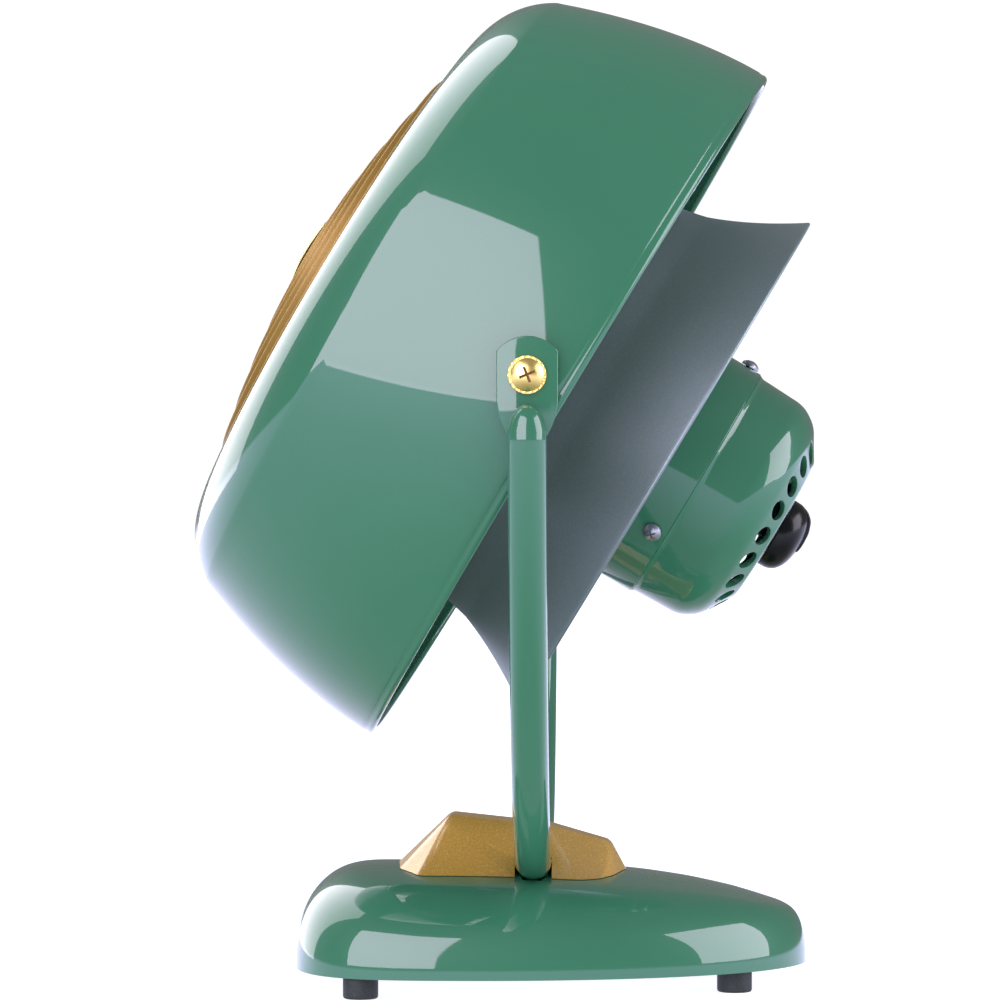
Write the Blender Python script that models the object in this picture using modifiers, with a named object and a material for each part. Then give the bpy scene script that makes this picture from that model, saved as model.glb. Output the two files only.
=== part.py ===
"""Desk fan: a barrel head that tilts in a tubular yoke on a cast egg-shaped base.

Metres, +Z up, the fan blows towards -Y. The origin is on the table, under the middle
of the bounding box. Run with: blender --background --python part.py
"""

import bpy
import bmesh
from math import cos, pi, radians, sin, sqrt, tau
from mathutils import Matrix, Vector

MM = 0.001
GAP = 0.3 * MM                      # clearance between two pieces that touch
MERGE = 0.00001

# ---- Head: stations are measured along the fan axis from the tilt pivot, + forward ----
PIVOT = Vector((0.0, 13.6 * MM, 250.5 * MM))
TILT_REST = radians(31.1)           # the fan axis points this far above level at rest
REAR_RIM = -17.6 * MM               # rear edge of the shroud
SHROUD_RADIUS = 161.7 * MM          # widest radius of the shroud
SHROUD_WALL = 1.5 * MM
BELLY_FROM = -13.6 * MM             # the barrel narrows forward from here
BELLY_LENGTH = 88.0 * MM
BELLY_DROP = 18.5 * MM
BELLY_POWER = 1.78
LIP_STATION = 93.5 * MM             # front of the rolled lip
LIP_RADIUS = 118.0 * MM
GRILLE_APEX = 112.9 * MM
GRILLE_RADIUS = 116.8 * MM
GRILLE_FALL = 18.7 * MM            # from the grille's crown back to its rim
RING_RADII = [radius * MM for radius in (25.5, 41.5, 57.5, 73.5, 89.5, 105.5)]
DUCT_RIM = -64.8 * MM
DUCT_RIM_RADIUS = 119.5 * MM
DUCT_FRONT = 27.0 * MM
DUCT_THROAT = 92.5 * MM
DUCT_WALL = 1.5 * MM
MOTOR_RADIUS = 53.4 * MM
MOTOR_SEAM = -79.3 * MM             # joint between the two motor covers
MOTOR_FRONT = -28.0 * MM
MOTOR_REAR = -117.9 * MM
MOTOR_WALL = 1.8 * MM
SHAFT_RADIUS = 4.0 * MM
KNOB_RADIUS = 15.5 * MM
KNOB_DEPTH = 13.2 * MM
SPOKE_ANGLES = (90, -30, 210)       # brackets and housing screws, from +X, in degrees
VENT_COUNT = 20
VENT_RADIUS = 4.3 * MM
VENT_PLACE = Vector((39.3 * MM, 0.0, -113.7 * MM))
VENT_PHASE = 11                     # turn of the first vent from +X, in degrees
VENT_SLOPE = radians(122)           # the vents face out and back, square to the cover's cone
HOUSING_SCREW_STATION = -73.6 * MM
INLET_ANGLE = 222                   # the cord inlet is on the far side, in degrees from +X
INLET_STATION = -96.5 * MM

# ---- Stand ----
TUBE_RADIUS = 7.5 * MM
YOKE_HALF_WIDTH = 171.6 * MM        # pivot plane to tube centreline
YOKE_DROP = 205.0 * MM
YOKE_FLAT = 36.3 * MM               # half length of the flat run on the base
YOKE_BLEND = 56.0 * MM
YOKE_BOTTOM = 52.7 * MM             # height of the flat run's centreline
PADDLE_INNER = 163.2 * MM           # inner face of the flattened yoke ends
PADDLE_THICK = 4.0 * MM
PADDLE_HALF_WIDTH = 11.85 * MM
PADDLE_RADIUS = 15.0 * MM
PIVOT_HOLE = 4.4 * MM
CLAMP_HALF_LENGTH = 9.0 * MM
CLAMP_FOOT = 49.8 * MM              # underside of the clamp's feet
CLAMP_THICK = 2.4 * MM
CLAMP_REACH = 23.5 * MM             # from the tube's centre to the end of a clamp foot
CLAMP_BOLT = 17.0 * MM              # from the tube's centre to a clamp screw

BASE_BOTTOM = 8.8 * MM
BASE_WIDE_Y = -14.5 * MM            # where the base is widest
BASE_HALF_WIDTH = 87.0 * MM
BASE_FRONT = -86.7 * MM
BASE_REAR = 128.2 * MM
BASE_TOP = 49.5 * MM
BASE_SHOULDER = 36.0 * MM           # how far the rounded shoulder reaches in
REAR_SHOULDER = 0.26                # the same at the rear, as a share of it
SHOULDER_POWER = 2.6                # squareness of the shoulder's section
CROWN_RINGS = (0.6, 0.2)            # inner rings of the crown, as shares of its edge
BASE_CROWN_RADIUS = 350.0 * MM
PLATE_THICK = 1.6 * MM
FOOT_RADIUS = 7.2 * MM
FOOT_PLACES = {
    "front_right": (72.0 * MM, -56.0 * MM),
    "front_left": (-72.0 * MM, -56.0 * MM),
    "rear_right": (44.0 * MM, 96.6 * MM),
    "rear_left": (-44.0 * MM, 96.6 * MM),
}

COLORS = {
    "green_enamel": ((0.050, 0.220, 0.140, 1.0), 0.20, 0.0),
    "gold_paint": ((0.460, 0.260, 0.050, 1.0), 0.32, 0.9),
    "brass": ((0.780, 0.560, 0.160, 1.0), 0.22, 1.0),
    "grey_satin": ((0.075, 0.100, 0.110, 1.0), 0.50, 0.3),
    "steel": ((0.560, 0.570, 0.580, 1.0), 0.28, 1.0),
    "black_plastic": ((0.012, 0.012, 0.013, 1.0), 0.40, 0.0),
    "rubber": ((0.025, 0.025, 0.027, 1.0), 0.80, 0.0),
    "copper": ((0.550, 0.180, 0.070, 1.0), 0.35, 1.0),
    "cast_iron": ((0.090, 0.090, 0.095, 1.0), 0.60, 0.8),
}


# ---------------------------------------------------------------- scene and helpers

def clear_scene():
    for item in list(bpy.data.objects):
        bpy.data.objects.remove(item, do_unlink=True)


def new_collection(name):
    collection = bpy.data.collections.new(name)
    bpy.context.scene.collection.children.link(collection)
    return collection


def material(name):
    found = bpy.data.materials.get(name)
    if found:
        return found
    color, roughness, metallic = COLORS[name]
    made = bpy.data.materials.new(name)
    made.use_nodes = True
    shader = made.node_tree.nodes["Principled BSDF"]
    shader.inputs["Base Color"].default_value = color
    shader.inputs["Roughness"].default_value = roughness
    shader.inputs["Metallic"].default_value = metallic
    return made


def add_part(name, mesh, finish, parent=None, matrix=None):
    """Put a mesh in the fan's collection as one named part, in its parent's frame."""
    part = bpy.data.objects.new(name, mesh)
    mesh.materials.clear()
    mesh.materials.append(material(finish))
    FAN.objects.link(part)
    part.parent = parent
    if matrix is not None:
        part.matrix_basis = matrix
    mesh.shade_smooth()
    mesh.set_sharp_from_angle(angle=radians(35))
    return part


def mesh_from(builder, name="mesh"):
    """Make a mesh from a function that fills a bmesh."""
    shape = bmesh.new()
    builder(shape)
    bmesh.ops.recalc_face_normals(shape, faces=shape.faces)
    mesh = bpy.data.meshes.new(name)
    shape.to_mesh(mesh)
    shape.free()
    return mesh


def evaluated_mesh(source):
    """The mesh of an object with its modifiers applied, welded closed."""
    bpy.context.view_layer.update()
    graph = bpy.context.evaluated_depsgraph_get()
    mesh = bpy.data.meshes.new_from_object(source.evaluated_get(graph))
    shape = bmesh.new()
    shape.from_mesh(mesh)
    bmesh.ops.remove_doubles(shape, verts=shape.verts, dist=MERGE)
    shape.to_mesh(mesh)
    shape.free()
    return mesh


def turned_mesh(profile, steps, closed=False):
    """Turn (radius, height) points about Z: outer side first, from top to bottom."""
    mesh = bpy.data.meshes.new("profile")
    points = [(radius, 0.0, height) for radius, height in profile]
    edges = [(i, i + 1) for i in range(len(points) - 1)]
    if closed:
        edges.append((len(points) - 1, 0))
    mesh.from_pydata(points, edges, [])
    guide = bpy.data.objects.new("profile", mesh)
    FAN.objects.link(guide)
    screw = guide.modifiers.new("Screw", "SCREW")
    screw.steps = steps
    screw.render_steps = steps
    screw.use_merge_vertices = True
    screw.merge_threshold = MERGE
    made = evaluated_mesh(guide)
    bpy.data.objects.remove(guide, do_unlink=True)
    return made


def box_mesh(size, centre=(0, 0, 0), turn=None):
    def build(shape):
        place = Matrix.Translation(centre) @ (turn or Matrix()).to_4x4()
        bmesh.ops.create_cube(shape, size=1.0, matrix=place @ Matrix.Diagonal((*size, 1)))
    return mesh_from(build)


def slab_mesh(outline, thickness):
    """Extrude a flat outline, a list of points in space, by a vector."""
    def build(shape):
        face = shape.faces.new([shape.verts.new(point) for point in outline])
        far = bmesh.ops.extrude_face_region(shape, geom=[face])
        moved = [item for item in far["geom"] if isinstance(item, bmesh.types.BMVert)]
        bmesh.ops.translate(shape, vec=thickness, verts=moved)
    return mesh_from(build)


def cylinder_mesh(radius, low, high, steps=16, place=None):
    def build(shape):
        centre = Matrix.Translation((0, 0, (low + high) / 2))
        bmesh.ops.create_cone(
            shape, cap_ends=True, segments=steps, radius1=radius, radius2=radius,
            depth=high - low, matrix=(place or Matrix()) @ centre)
    return mesh_from(build)


def boolean(part, other, operation="DIFFERENCE"):
    """Cut a part with, or join it to, a mesh given in the part's own frame."""
    tool = bpy.data.objects.new(part.name + "_tool", other)
    CUTTERS.objects.link(tool)
    tool.hide_render = True
    tool.display_type = "WIRE"
    tool.parent = part.parent
    tool.matrix_basis = part.matrix_basis
    step = part.modifiers.new(operation.title(), "BOOLEAN")
    step.operation = operation
    step.solver = "EXACT"
    step.object = tool


def joined(part, others):
    for other in others:
        boolean(part, other, "UNION")


def arc(centre, radius, start, end, count):
    """Points on an arc in the (radius, height) plane, angles in degrees from +radius."""
    turns = [radians(start + (end - start) * i / (count - 1)) for i in range(count)]
    return [(centre[0] + radius * cos(a), centre[1] + radius * sin(a)) for a in turns]


def cubic(start, first, second, end, count):
    """Points on a cubic curve between two ends, with its two handles."""
    points = []
    for i in range(count):
        t = i / (count - 1)
        weights = ((1 - t) ** 3, 3 * t * (1 - t) ** 2, 3 * t * t * (1 - t), t ** 3)
        points.append(tuple(
            sum(w * p[axis] for w, p in zip(weights, (start, first, second, end)))
            for axis in (0, 1)))
    return points


def offset(profile, distance):
    """The same outline moved towards its inner side, for a wall of even thickness."""
    moved = []
    for i, point in enumerate(profile):
        before = profile[max(i - 1, 0)]
        after = profile[min(i + 1, len(profile) - 1)]
        run = Vector((after[0] - before[0], after[1] - before[1])).normalized()
        moved.append((point[0] + run.y * distance, point[1] - run.x * distance))
    return moved


def ring_profile(inner, outer, low, high):
    return [(outer, high), (outer, low), (inner, low), (inner, high)]


def nut_mesh(bore, corner, low, high):
    """Hexagonal nut whose six-sided bore clears a round thread of the given radius."""
    profile = ring_profile((bore + GAP) / cos(pi / 6), corner, low, high)
    return turned_mesh(profile, 6, closed=True)


def about_z(angle):
    return Matrix.Rotation(radians(angle), 4, "Z")


def screw_profile(head_radius, head_height, shank_radius, shank_length):
    """Domed screw: the head's underside is at height 0 and the shank hangs below it."""
    rim = 0.35 * head_height
    return [
        (0.0, head_height), (0.60 * head_radius, 0.86 * head_height),
        (head_radius, rim), (head_radius, 0.0),
        (shank_radius, 0.0), (shank_radius, -shank_length), (0.0, -shank_length)]


# ---------------------------------------------------------------- base

def base_outline(count, inset=0.0, reach=0.0):
    """Plan of the base: blunt in front, egg-shaped at the rear, steeper there."""
    points = []
    for i in range(count):
        angle = tau * i / count
        rear = sin(angle) > 0
        power = 2.1 if rear else 3.2
        end = BASE_REAR if rear else BASE_FRONT
        back = inset + reach * (REAR_SHOULDER if rear else 1.0)
        x = (BASE_HALF_WIDTH - inset - reach) * abs(cos(angle)) ** (2 / power)
        y = (abs(end - BASE_WIDE_Y) - back) * abs(sin(angle)) ** (2 / power)
        points.append((x if cos(angle) > 0 else -x, BASE_WIDE_Y + (y if rear else -y)))
    return points


def base_crest(x, y):
    """Height of the crowned top before its shoulder rounds off."""
    slope = 2.95 * MM * max(0.0, (y - BASE_WIDE_Y + 35 * MM) / (102.5 * MM)) ** 3.55
    return BASE_TOP - slope - x * x / (2 * BASE_CROWN_RADIUS)


def base_dome(shape, count, floor, inset=0.0, lowered=0.0):
    """Loft the base from its plan up over the shoulder to the crown; returns its rim."""
    steps = [(pi / 2 * i / 5, 1.0) for i in range(6)]
    steps += [(pi / 2, spread) for spread in CROWN_RINGS]
    rings = []
    for turn, spread in steps:
        rise = sin(turn) ** (2 / SHOULDER_POWER)
        reach = BASE_SHOULDER * (1 - cos(turn) ** (2 / SHOULDER_POWER))
        ring = []
        for x, y in base_outline(count, inset, reach):
            x *= spread
            y = BASE_WIDE_Y + (y - BASE_WIDE_Y) * spread
            top = base_crest(x, y) - lowered
            ring.append(shape.verts.new((x, y, floor + (top - floor) * rise)))
        rings.append(ring)
    for low, high in zip(rings, rings[1:]):
        for i in range(count):
            j = (i + 1) % count
            shape.faces.new((low[i], low[j], high[j], high[i]))
    shape.faces.new(rings[-1])
    return rings[0]


def base_cover_cutter(lift, count):
    """The solid base, raised a little, to trim what stands on it."""
    def build(shape):
        rim = base_dome(shape, count, BASE_BOTTOM, lowered=-lift)
        shape.faces.new(list(reversed(rim)))
    return mesh_from(build)


def make_base():
    count = 36

    def shell(shape):
        outer = base_dome(shape, count, BASE_BOTTOM)
        inner = base_dome(shape, count, BASE_BOTTOM, inset=3 * MM, lowered=6.5 * MM)
        for i in range(count):
            j = (i + 1) % count
            shape.faces.new((outer[j], outer[i], inner[i], inner[j]))

    base = add_part("base_shell", mesh_from(shell), "green_enamel")
    along_x = Matrix.Rotation(pi / 2, 4, "Y")
    groove = Matrix.Translation((0, PIVOT.y, YOKE_BOTTOM)) @ along_x
    boolean(base, cylinder_mesh(TUBE_RADIUS + 0.4 * MM, -47 * MM, 47 * MM, 24, groove))
    for x, y, _ in clamp_screws():
        hole = Matrix.Translation((x, y, 0))
        boolean(base, cylinder_mesh(2.6 * MM, 35 * MM, 60 * MM, 12, hole))

    rim = [(x, y, BASE_BOTTOM + GAP) for x, y in base_outline(count, 3.5 * MM)]
    cover = add_part("base_plate", slab_mesh(rim, (0, 0, PLATE_THICK)), "steel")
    for x, y in FOOT_PLACES.values():
        hole = Matrix.Translation((x, y, 0))
        boolean(cover, cylinder_mesh(2.2 * MM, 0, 20 * MM, 10, hole))

    size = Vector((96, 84, 16)) * MM
    floor = BASE_BOTTOM + PLATE_THICK + 2 * GAP
    weight = add_part(
        "ballast_weight", box_mesh(size, (0, 6 * MM, floor + size.z / 2)), "cast_iron")
    edges = weight.modifiers.new("Bevel", "BEVEL")
    edges.width = 3 * MM
    edges.segments = 1


def make_feet():
    height = BASE_BOTTOM
    foot = [
        (2.0 * MM, height), (FOOT_RADIUS, height), (FOOT_RADIUS, 1.0 * MM),
        (FOOT_RADIUS - 1.0 * MM, 0.0), (4.2 * MM, 0.0), (4.2 * MM, 3.4 * MM),
        (2.0 * MM, 3.4 * MM)]
    screw = screw_profile(3.6 * MM, 2.2 * MM, 1.6 * MM, 10 * MM)
    upside_down = Matrix.Rotation(pi, 4, "X")
    for place, (x, y) in FOOT_PLACES.items():
        here = Matrix.Translation((x, y, 0))
        add_part("foot_" + place, turned_mesh(foot, 12, closed=True), "rubber", matrix=here)
        head = Matrix.Translation((x, y, 3.4 * MM - GAP)) @ upside_down
        add_part("foot_screw_" + place, turned_mesh(screw, 10), "steel", matrix=head)


# ---------------------------------------------------------------- yoke and its cover

def yoke_height(x):
    """Height of the yoke tube's centreline at a distance from the middle."""
    def ellipse(at):
        return PIVOT.z - YOKE_DROP * sqrt(max(0.0, 1 - (at / YOKE_HALF_WIDTH) ** 2))

    at = abs(x)
    if at >= YOKE_BLEND:
        return ellipse(at)
    if at <= YOKE_FLAT:
        return YOKE_BOTTOM
    part = (at - YOKE_FLAT) / (YOKE_BLEND - YOKE_FLAT)
    return YOKE_BOTTOM + (ellipse(YOKE_BLEND) - YOKE_BOTTOM) * part ** 2


def yoke_path():
    """Points down one leg, along the base and up the other leg."""
    leg = []
    for i in range(11):
        angle = radians(6 + 66 * i / 10)
        x = YOKE_HALF_WIDTH * cos(angle)
        leg.append((x, yoke_height(x)))
    leg += [(YOKE_FLAT + 6 * MM, yoke_height(YOKE_FLAT + 6 * MM)), (YOKE_FLAT, YOKE_BOTTOM)]
    other = [(-x, z) for x, z in reversed(leg)]
    return [(x, PIVOT.y, z) for x, z in leg + other]


def tube_mesh(points, radius):
    curve = bpy.data.curves.new("tube", "CURVE")
    curve.dimensions = "3D"
    curve.bevel_depth = radius
    curve.bevel_resolution = 3
    curve.use_fill_caps = True
    line = curve.splines.new("POLY")
    line.points.add(len(points) - 1)
    for target, point in zip(line.points, points):
        target.co = (*point, 1.0)
    guide = bpy.data.objects.new("tube", curve)
    FAN.objects.link(guide)
    made = evaluated_mesh(guide)
    bpy.data.objects.remove(guide, do_unlink=True)
    return made


def paddle_mesh(side):
    """Flattened end: a round top cut by straight sides, narrowing down to the tube."""
    corner = sqrt(PADDLE_RADIUS ** 2 - PADDLE_HALF_WIDTH ** 2)
    top = [(PADDLE_RADIUS * sin(a), PADDLE_RADIUS * cos(a))
           for a in (radians(-39.5), radians(-20), 0.0, radians(20), radians(39.5))]
    outline = [(-PADDLE_HALF_WIDTH, corner)] + top[1:-1] + [(PADDLE_HALF_WIDTH, corner)]
    outline += [(PADDLE_HALF_WIDTH, -10 * MM), (10.6 * MM, -17 * MM), (7.2 * MM, -23 * MM)]
    outline += [(-7.2 * MM, -23 * MM), (-10.6 * MM, -17 * MM), (-PADDLE_HALF_WIDTH, -10 * MM)]

    inner = [(side * PADDLE_INNER, PIVOT.y + y, PIVOT.z + z) for y, z in outline]
    return slab_mesh(inner, (side * PADDLE_THICK, 0, 0))


def nose_mesh(side):
    """Bullet nose where the round tube begins below the flattened end."""
    def build(shape):
        leg_x = YOKE_HALF_WIDTH * cos(radians(6))
        middle = Matrix.Translation((side * leg_x, PIVOT.y, PIVOT.z - 22 * MM))
        size = Matrix.Diagonal((TUBE_RADIUS, TUBE_RADIUS * 0.99, 10.6 * MM, 1))
        bmesh.ops.create_uvsphere(
            shape, u_segments=12, v_segments=8, radius=1.0, matrix=middle @ size)
    return mesh_from(build)


def make_yoke():
    yoke = add_part("yoke", tube_mesh(yoke_path(), TUBE_RADIUS), "green_enamel")
    across = Matrix.Rotation(pi / 2, 4, "Y")
    for side in (1, -1):
        joined(yoke, (nose_mesh(side), paddle_mesh(side)))
    for side in (1, -1):
        hole = Matrix.Translation((side * PADDLE_INNER, PIVOT.y, PIVOT.z)) @ across
        boolean(yoke, cylinder_mesh(PIVOT_HOLE, -20 * MM, 20 * MM, 16, hole))


def clamp_screws():
    return [(0.0, PIVOT.y + side * CLAMP_BOLT, CLAMP_FOOT + CLAMP_THICK + GAP)
            for side in (-1, 1)]


def make_clamp():
    """Strap over the yoke tube, screwed down to the base on both sides."""
    inner = TUBE_RADIUS + 0.4 * MM
    outer = inner + CLAMP_THICK
    lift = YOKE_BOTTOM - CLAMP_FOOT
    over = arc((0, lift), outer, 0, 180, 9)
    under = arc((0, lift), inner, 180, 0, 9)
    top = CLAMP_THICK
    outline = [(CLAMP_REACH, 0), (CLAMP_REACH, top), (outer, top)] + over
    outline += [(-outer, top), (-CLAMP_REACH, top), (-CLAMP_REACH, 0), (-inner, 0)]
    outline += under + [(inner, 0)]

    end = [(-CLAMP_HALF_LENGTH, PIVOT.y + y, CLAMP_FOOT + z) for y, z in outline]
    clamp = add_part("yoke_clamp", slab_mesh(end, (2 * CLAMP_HALF_LENGTH, 0, 0)), "steel")
    screw = screw_profile(4.4 * MM, 2.8 * MM, 2.2 * MM, 12 * MM)
    for name, (x, y, z) in zip(("front", "rear"), clamp_screws()):
        hole = Matrix.Translation((x, y, CLAMP_FOOT))
        boolean(clamp, cylinder_mesh(2.6 * MM, -9 * MM, 9 * MM, 12, hole))
        add_part("clamp_screw_" + name, turned_mesh(screw, 12), "steel",
                 matrix=Matrix.Translation((x, y, z)))


def make_saddle_cover():
    """Faceted hood over the clamp, open below, with a notch each side for the tube."""
    foot = (
        (0, -67.4, 40), (30, -64.5, 40), (50.5, -51, 40), (51, 25.2, 40), (36, 34, 40),
        (0, 42.2, 40))
    roof = (
        (10, -35.6, 70.5), (18, -36.9, 67.0), (18, 6, 62.7), (10, 6.4, 66.0),
        (8, 32.2, 58.7), (15, 29.6, 56.2))
    half = [(x * MM, PIVOT.y + y * MM, z * MM) for x, y, z in foot + roof]
    corners = [(sign * x, y, z) for x, y, z in half for sign in (1, -1)]

    def build(shape):
        for corner in corners:
            shape.verts.new(corner)
        bmesh.ops.remove_doubles(shape, verts=shape.verts, dist=MERGE)
        made = bmesh.ops.convex_hull(shape, input=shape.verts)
        bmesh.ops.delete(shape, geom=made["geom_interior"], context="VERTS")
        bmesh.ops.dissolve_limit(
            shape, angle_limit=radians(1), verts=shape.verts, edges=shape.edges)
        shape.normal_update()
        floor = [f for f in shape.faces if f.normal.z < -0.9]
        bmesh.ops.delete(shape, geom=floor, context="FACES")

    cover = add_part("saddle_cover", mesh_from(build), "gold_paint")
    wall = cover.modifiers.new("Solidify", "SOLIDIFY")
    wall.thickness = 1.4 * MM
    wall.offset = -1.0
    wall.use_even_offset = True
    boolean(cover, base_cover_cutter(GAP, 36))
    room = TUBE_RADIUS + 0.4 * MM
    spring = YOKE_BOTTOM + 1.3 * MM
    notch = (120 * MM, 2 * room, 30 * MM)
    boolean(cover, box_mesh(notch, (0, PIVOT.y, spring - 15 * MM)))
    arch = Matrix.Translation((0, PIVOT.y, spring)) @ Matrix.Rotation(pi / 2, 4, "Y")
    boolean(cover, cylinder_mesh(room, -60 * MM, 60 * MM, 20, arch))


# ---------------------------------------------------------------- head shell

def shroud_radius(station):
    part = max(0.0, (station - BELLY_FROM) / BELLY_LENGTH)
    return SHROUD_RADIUS - BELLY_DROP * part ** BELLY_POWER


def make_shroud(head):
    shoulder = BELLY_FROM + BELLY_LENGTH
    lip = cubic(
        (LIP_RADIUS, LIP_STATION), (LIP_RADIUS + 12 * MM, LIP_STATION - 2.2 * MM),
        (SHROUD_RADIUS - 22.7 * MM, shoulder + 8.2 * MM), (shroud_radius(shoulder), shoulder), 5)
    belly = []
    for i in range(1, 5):
        station = shoulder - BELLY_LENGTH * i / 4
        belly.append((shroud_radius(station), station))
    outer = lip + belly
    bead = 1.8 * MM
    hem = arc((SHROUD_RADIUS - 0.3 * MM - bead, REAR_RIM + bead), bead, 0, -180, 4)
    inner = list(reversed(offset(outer, SHROUD_WALL)))
    shroud = add_part(
        "outer_shroud", turned_mesh(outer + hem + inner, 32, closed=True),
        "green_enamel", head)
    through = Matrix.Rotation(pi / 2, 4, "Y")
    for side in (1, -1):
        hole = Matrix.Translation((side * SHROUD_RADIUS, 0, 0)) @ through
        boolean(shroud, cylinder_mesh(PIVOT_HOLE, -9 * MM, 9 * MM, 16, hole))


def grille_station(radius):
    """Front edge of the domed grille at a radius from its axis."""
    return GRILLE_APEX - 2.0 * MM - GRILLE_FALL * (radius / GRILLE_RADIUS) ** 1.75


def make_grille(head):
    blade = 1.6 * MM
    depth = 8.0 * MM
    hub = 17.0 * MM
    front = grille_station(0)
    centre = turned_mesh(
        [(0, front), (hub, grille_station(hub)), (hub, front - depth), (0, front - depth)], 24)
    grille = add_part("front_grille", centre, "gold_paint", head)
    rim = GRILLE_RADIUS - blade
    for radius in RING_RADII + [rim]:
        edge = grille_station(radius)
        ring = [(radius + blade, edge - 0.4 * MM), (radius + blade, edge - depth),
                (radius, edge - depth), (radius, edge)]
        boolean(grille, turned_mesh(ring, 24, closed=True), "UNION")
    reaches = (hub - 3 * MM, 62 * MM, rim + 0.8 * MM)
    side = [(radius, -1.1 * MM, grille_station(radius) - 1.6 * MM) for radius in reaches]
    side += [(radius, -1.1 * MM, grille_station(radius) - 7.0 * MM)
             for radius in reversed(reaches)]
    for i in range(6):
        rib = slab_mesh(side, (0, 2.2 * MM, 0))
        rib.transform(about_z(60 * i + 30))
        boolean(grille, rib, "UNION")
    low = front + GAP
    dome = [(0, GRILLE_APEX), (7 * MM, GRILLE_APEX - 0.3 * MM), (13 * MM, low + 0.9 * MM),
            (14.5 * MM, low), (0, low)]
    add_part("grille_badge", turned_mesh(dome, 16), "brass", head)


def make_grille_clips(head):
    """Small clips behind the lip that hold the grille's rim."""
    station = LIP_STATION - 11.5 * MM
    for number in range(3):
        turn = about_z(120 * number + 30)
        clip = box_mesh((18 * MM, 9 * MM, 1.5 * MM), (122.4 * MM, 0, station))
        add_part("grille_clip_%d" % (number + 1), clip, "steel", head, turn)


def duct_outline():
    """Outer side of the duct from its front edge back to the flared rear rim."""
    throat = cubic(
        (DUCT_THROAT + 1.5 * MM, DUCT_FRONT), (DUCT_THROAT, DUCT_FRONT - 14 * MM),
        (DUCT_THROAT + 1.5 * MM, -8 * MM), (98.6 * MM, -25.6 * MM), 4)
    flare = cubic(
        (98.6 * MM, -25.6 * MM), (104.0 * MM, -40 * MM),
        (111.5 * MM, -53 * MM), (DUCT_RIM_RADIUS, DUCT_RIM), 6)
    return throat + flare[1:]


def make_duct(head):
    outer = duct_outline()
    inner = list(reversed(offset(outer, DUCT_WALL)))
    add_part("inner_duct", turned_mesh(outer + inner, 32, closed=True), "grey_satin", head)


def make_brackets(head):
    """Z-shaped brackets that hang the duct inside the shroud."""
    station = REAR_RIM + 4.8 * MM
    inner = 97.4 * MM
    outer = 157.0 * MM
    width = 12 * MM
    strip = [(inner, station + 14 * MM), (inner, station), (outer, station),
             (outer, station + 14 * MM)]
    for number, angle in enumerate(SPOKE_ANGLES):
        def build(shape):
            rows = [[shape.verts.new((r, y, z)) for r, z in strip]
                    for y in (-width / 2, width / 2)]
            for i in range(len(strip) - 1):
                shape.faces.new((rows[0][i], rows[0][i + 1], rows[1][i + 1], rows[1][i]))

        bracket = add_part(
            "duct_bracket_%d" % (number + 1), mesh_from(build), "steel", head,
            about_z(angle))
        sheet = bracket.modifiers.new("Solidify", "SOLIDIFY")
        sheet.thickness = 1.6 * MM
        sheet.offset = 0.0
        sheet.use_even_offset = True


# ---------------------------------------------------------------- motor

def make_motor_covers(head):
    collar = MOTOR_FRONT - 8 * MM
    outer = [(SHAFT_RADIUS + 1.2 * MM, MOTOR_FRONT + 6 * MM), (13 * MM, MOTOR_FRONT + 6 * MM),
             (15 * MM, MOTOR_FRONT), (40 * MM, MOTOR_FRONT)]
    outer += cubic((44 * MM, MOTOR_FRONT), (50 * MM, MOTOR_FRONT),
                   (MOTOR_RADIUS, MOTOR_FRONT - 2 * MM), (MOTOR_RADIUS, collar), 3)
    outer += [(MOTOR_RADIUS, MOTOR_SEAM + 2 * GAP)]
    inner = [(MOTOR_RADIUS - MOTOR_WALL, MOTOR_SEAM + 2 * GAP),
             (MOTOR_RADIUS - MOTOR_WALL, collar), (48 * MM, MOTOR_FRONT - MOTOR_WALL),
             (SHAFT_RADIUS + 1.2 * MM, MOTOR_FRONT - MOTOR_WALL)]
    front = add_part("motor_front_cover", turned_mesh(outer + inner, 28, closed=True),
                     "green_enamel", head)
    for angle in SPOKE_ANGLES:
        hole = about_z(angle) @ Matrix.Rotation(pi / 2, 4, "Y")
        hole.translation = about_z(angle) @ Vector((50 * MM, 0, HOUSING_SCREW_STATION))
        boolean(front, cylinder_mesh(2.3 * MM, -8 * MM, 8 * MM, 10, hole))

    wall = MOTOR_WALL
    rear = [(52.2 * MM, MOTOR_SEAM), (51.5 * MM, -101.8 * MM), (49.0 * MM, -107.3 * MM),
            (44.0 * MM, -111.0 * MM), (32.5 * MM, MOTOR_REAR), (6.2 * MM, MOTOR_REAR)]
    hollow = [(6.2 * MM, MOTOR_REAR + wall), (32.0 * MM, MOTOR_REAR + wall),
              (43.0 * MM, -109.0 * MM), (47.4 * MM, -105.8 * MM), (49.7 * MM, -101.0 * MM),
              (50.3 * MM, MOTOR_SEAM)]
    back = add_part("motor_rear_cover", turned_mesh(rear + hollow, VENT_COUNT, closed=True),
                    "green_enamel", head)
    slope = Matrix.Translation(VENT_PLACE) @ Matrix.Rotation(VENT_SLOPE, 4, "Y")
    for i in range(VENT_COUNT):
        spot = about_z(VENT_PHASE + 360 * i / VENT_COUNT) @ slope
        boolean(back, cylinder_mesh(VENT_RADIUS, -6 * MM, 6 * MM, 6, spot))
    inlet = cord_inlet_place()
    boolean(back, cylinder_mesh(4.6 * MM, -8 * MM, 8 * MM, 14, inlet))


def cord_inlet_place():
    turn = about_z(INLET_ANGLE)
    place = turn @ Matrix.Rotation(pi / 2, 4, "Y")
    place.translation = turn @ Vector((51 * MM, 0, INLET_STATION))
    return place


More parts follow.
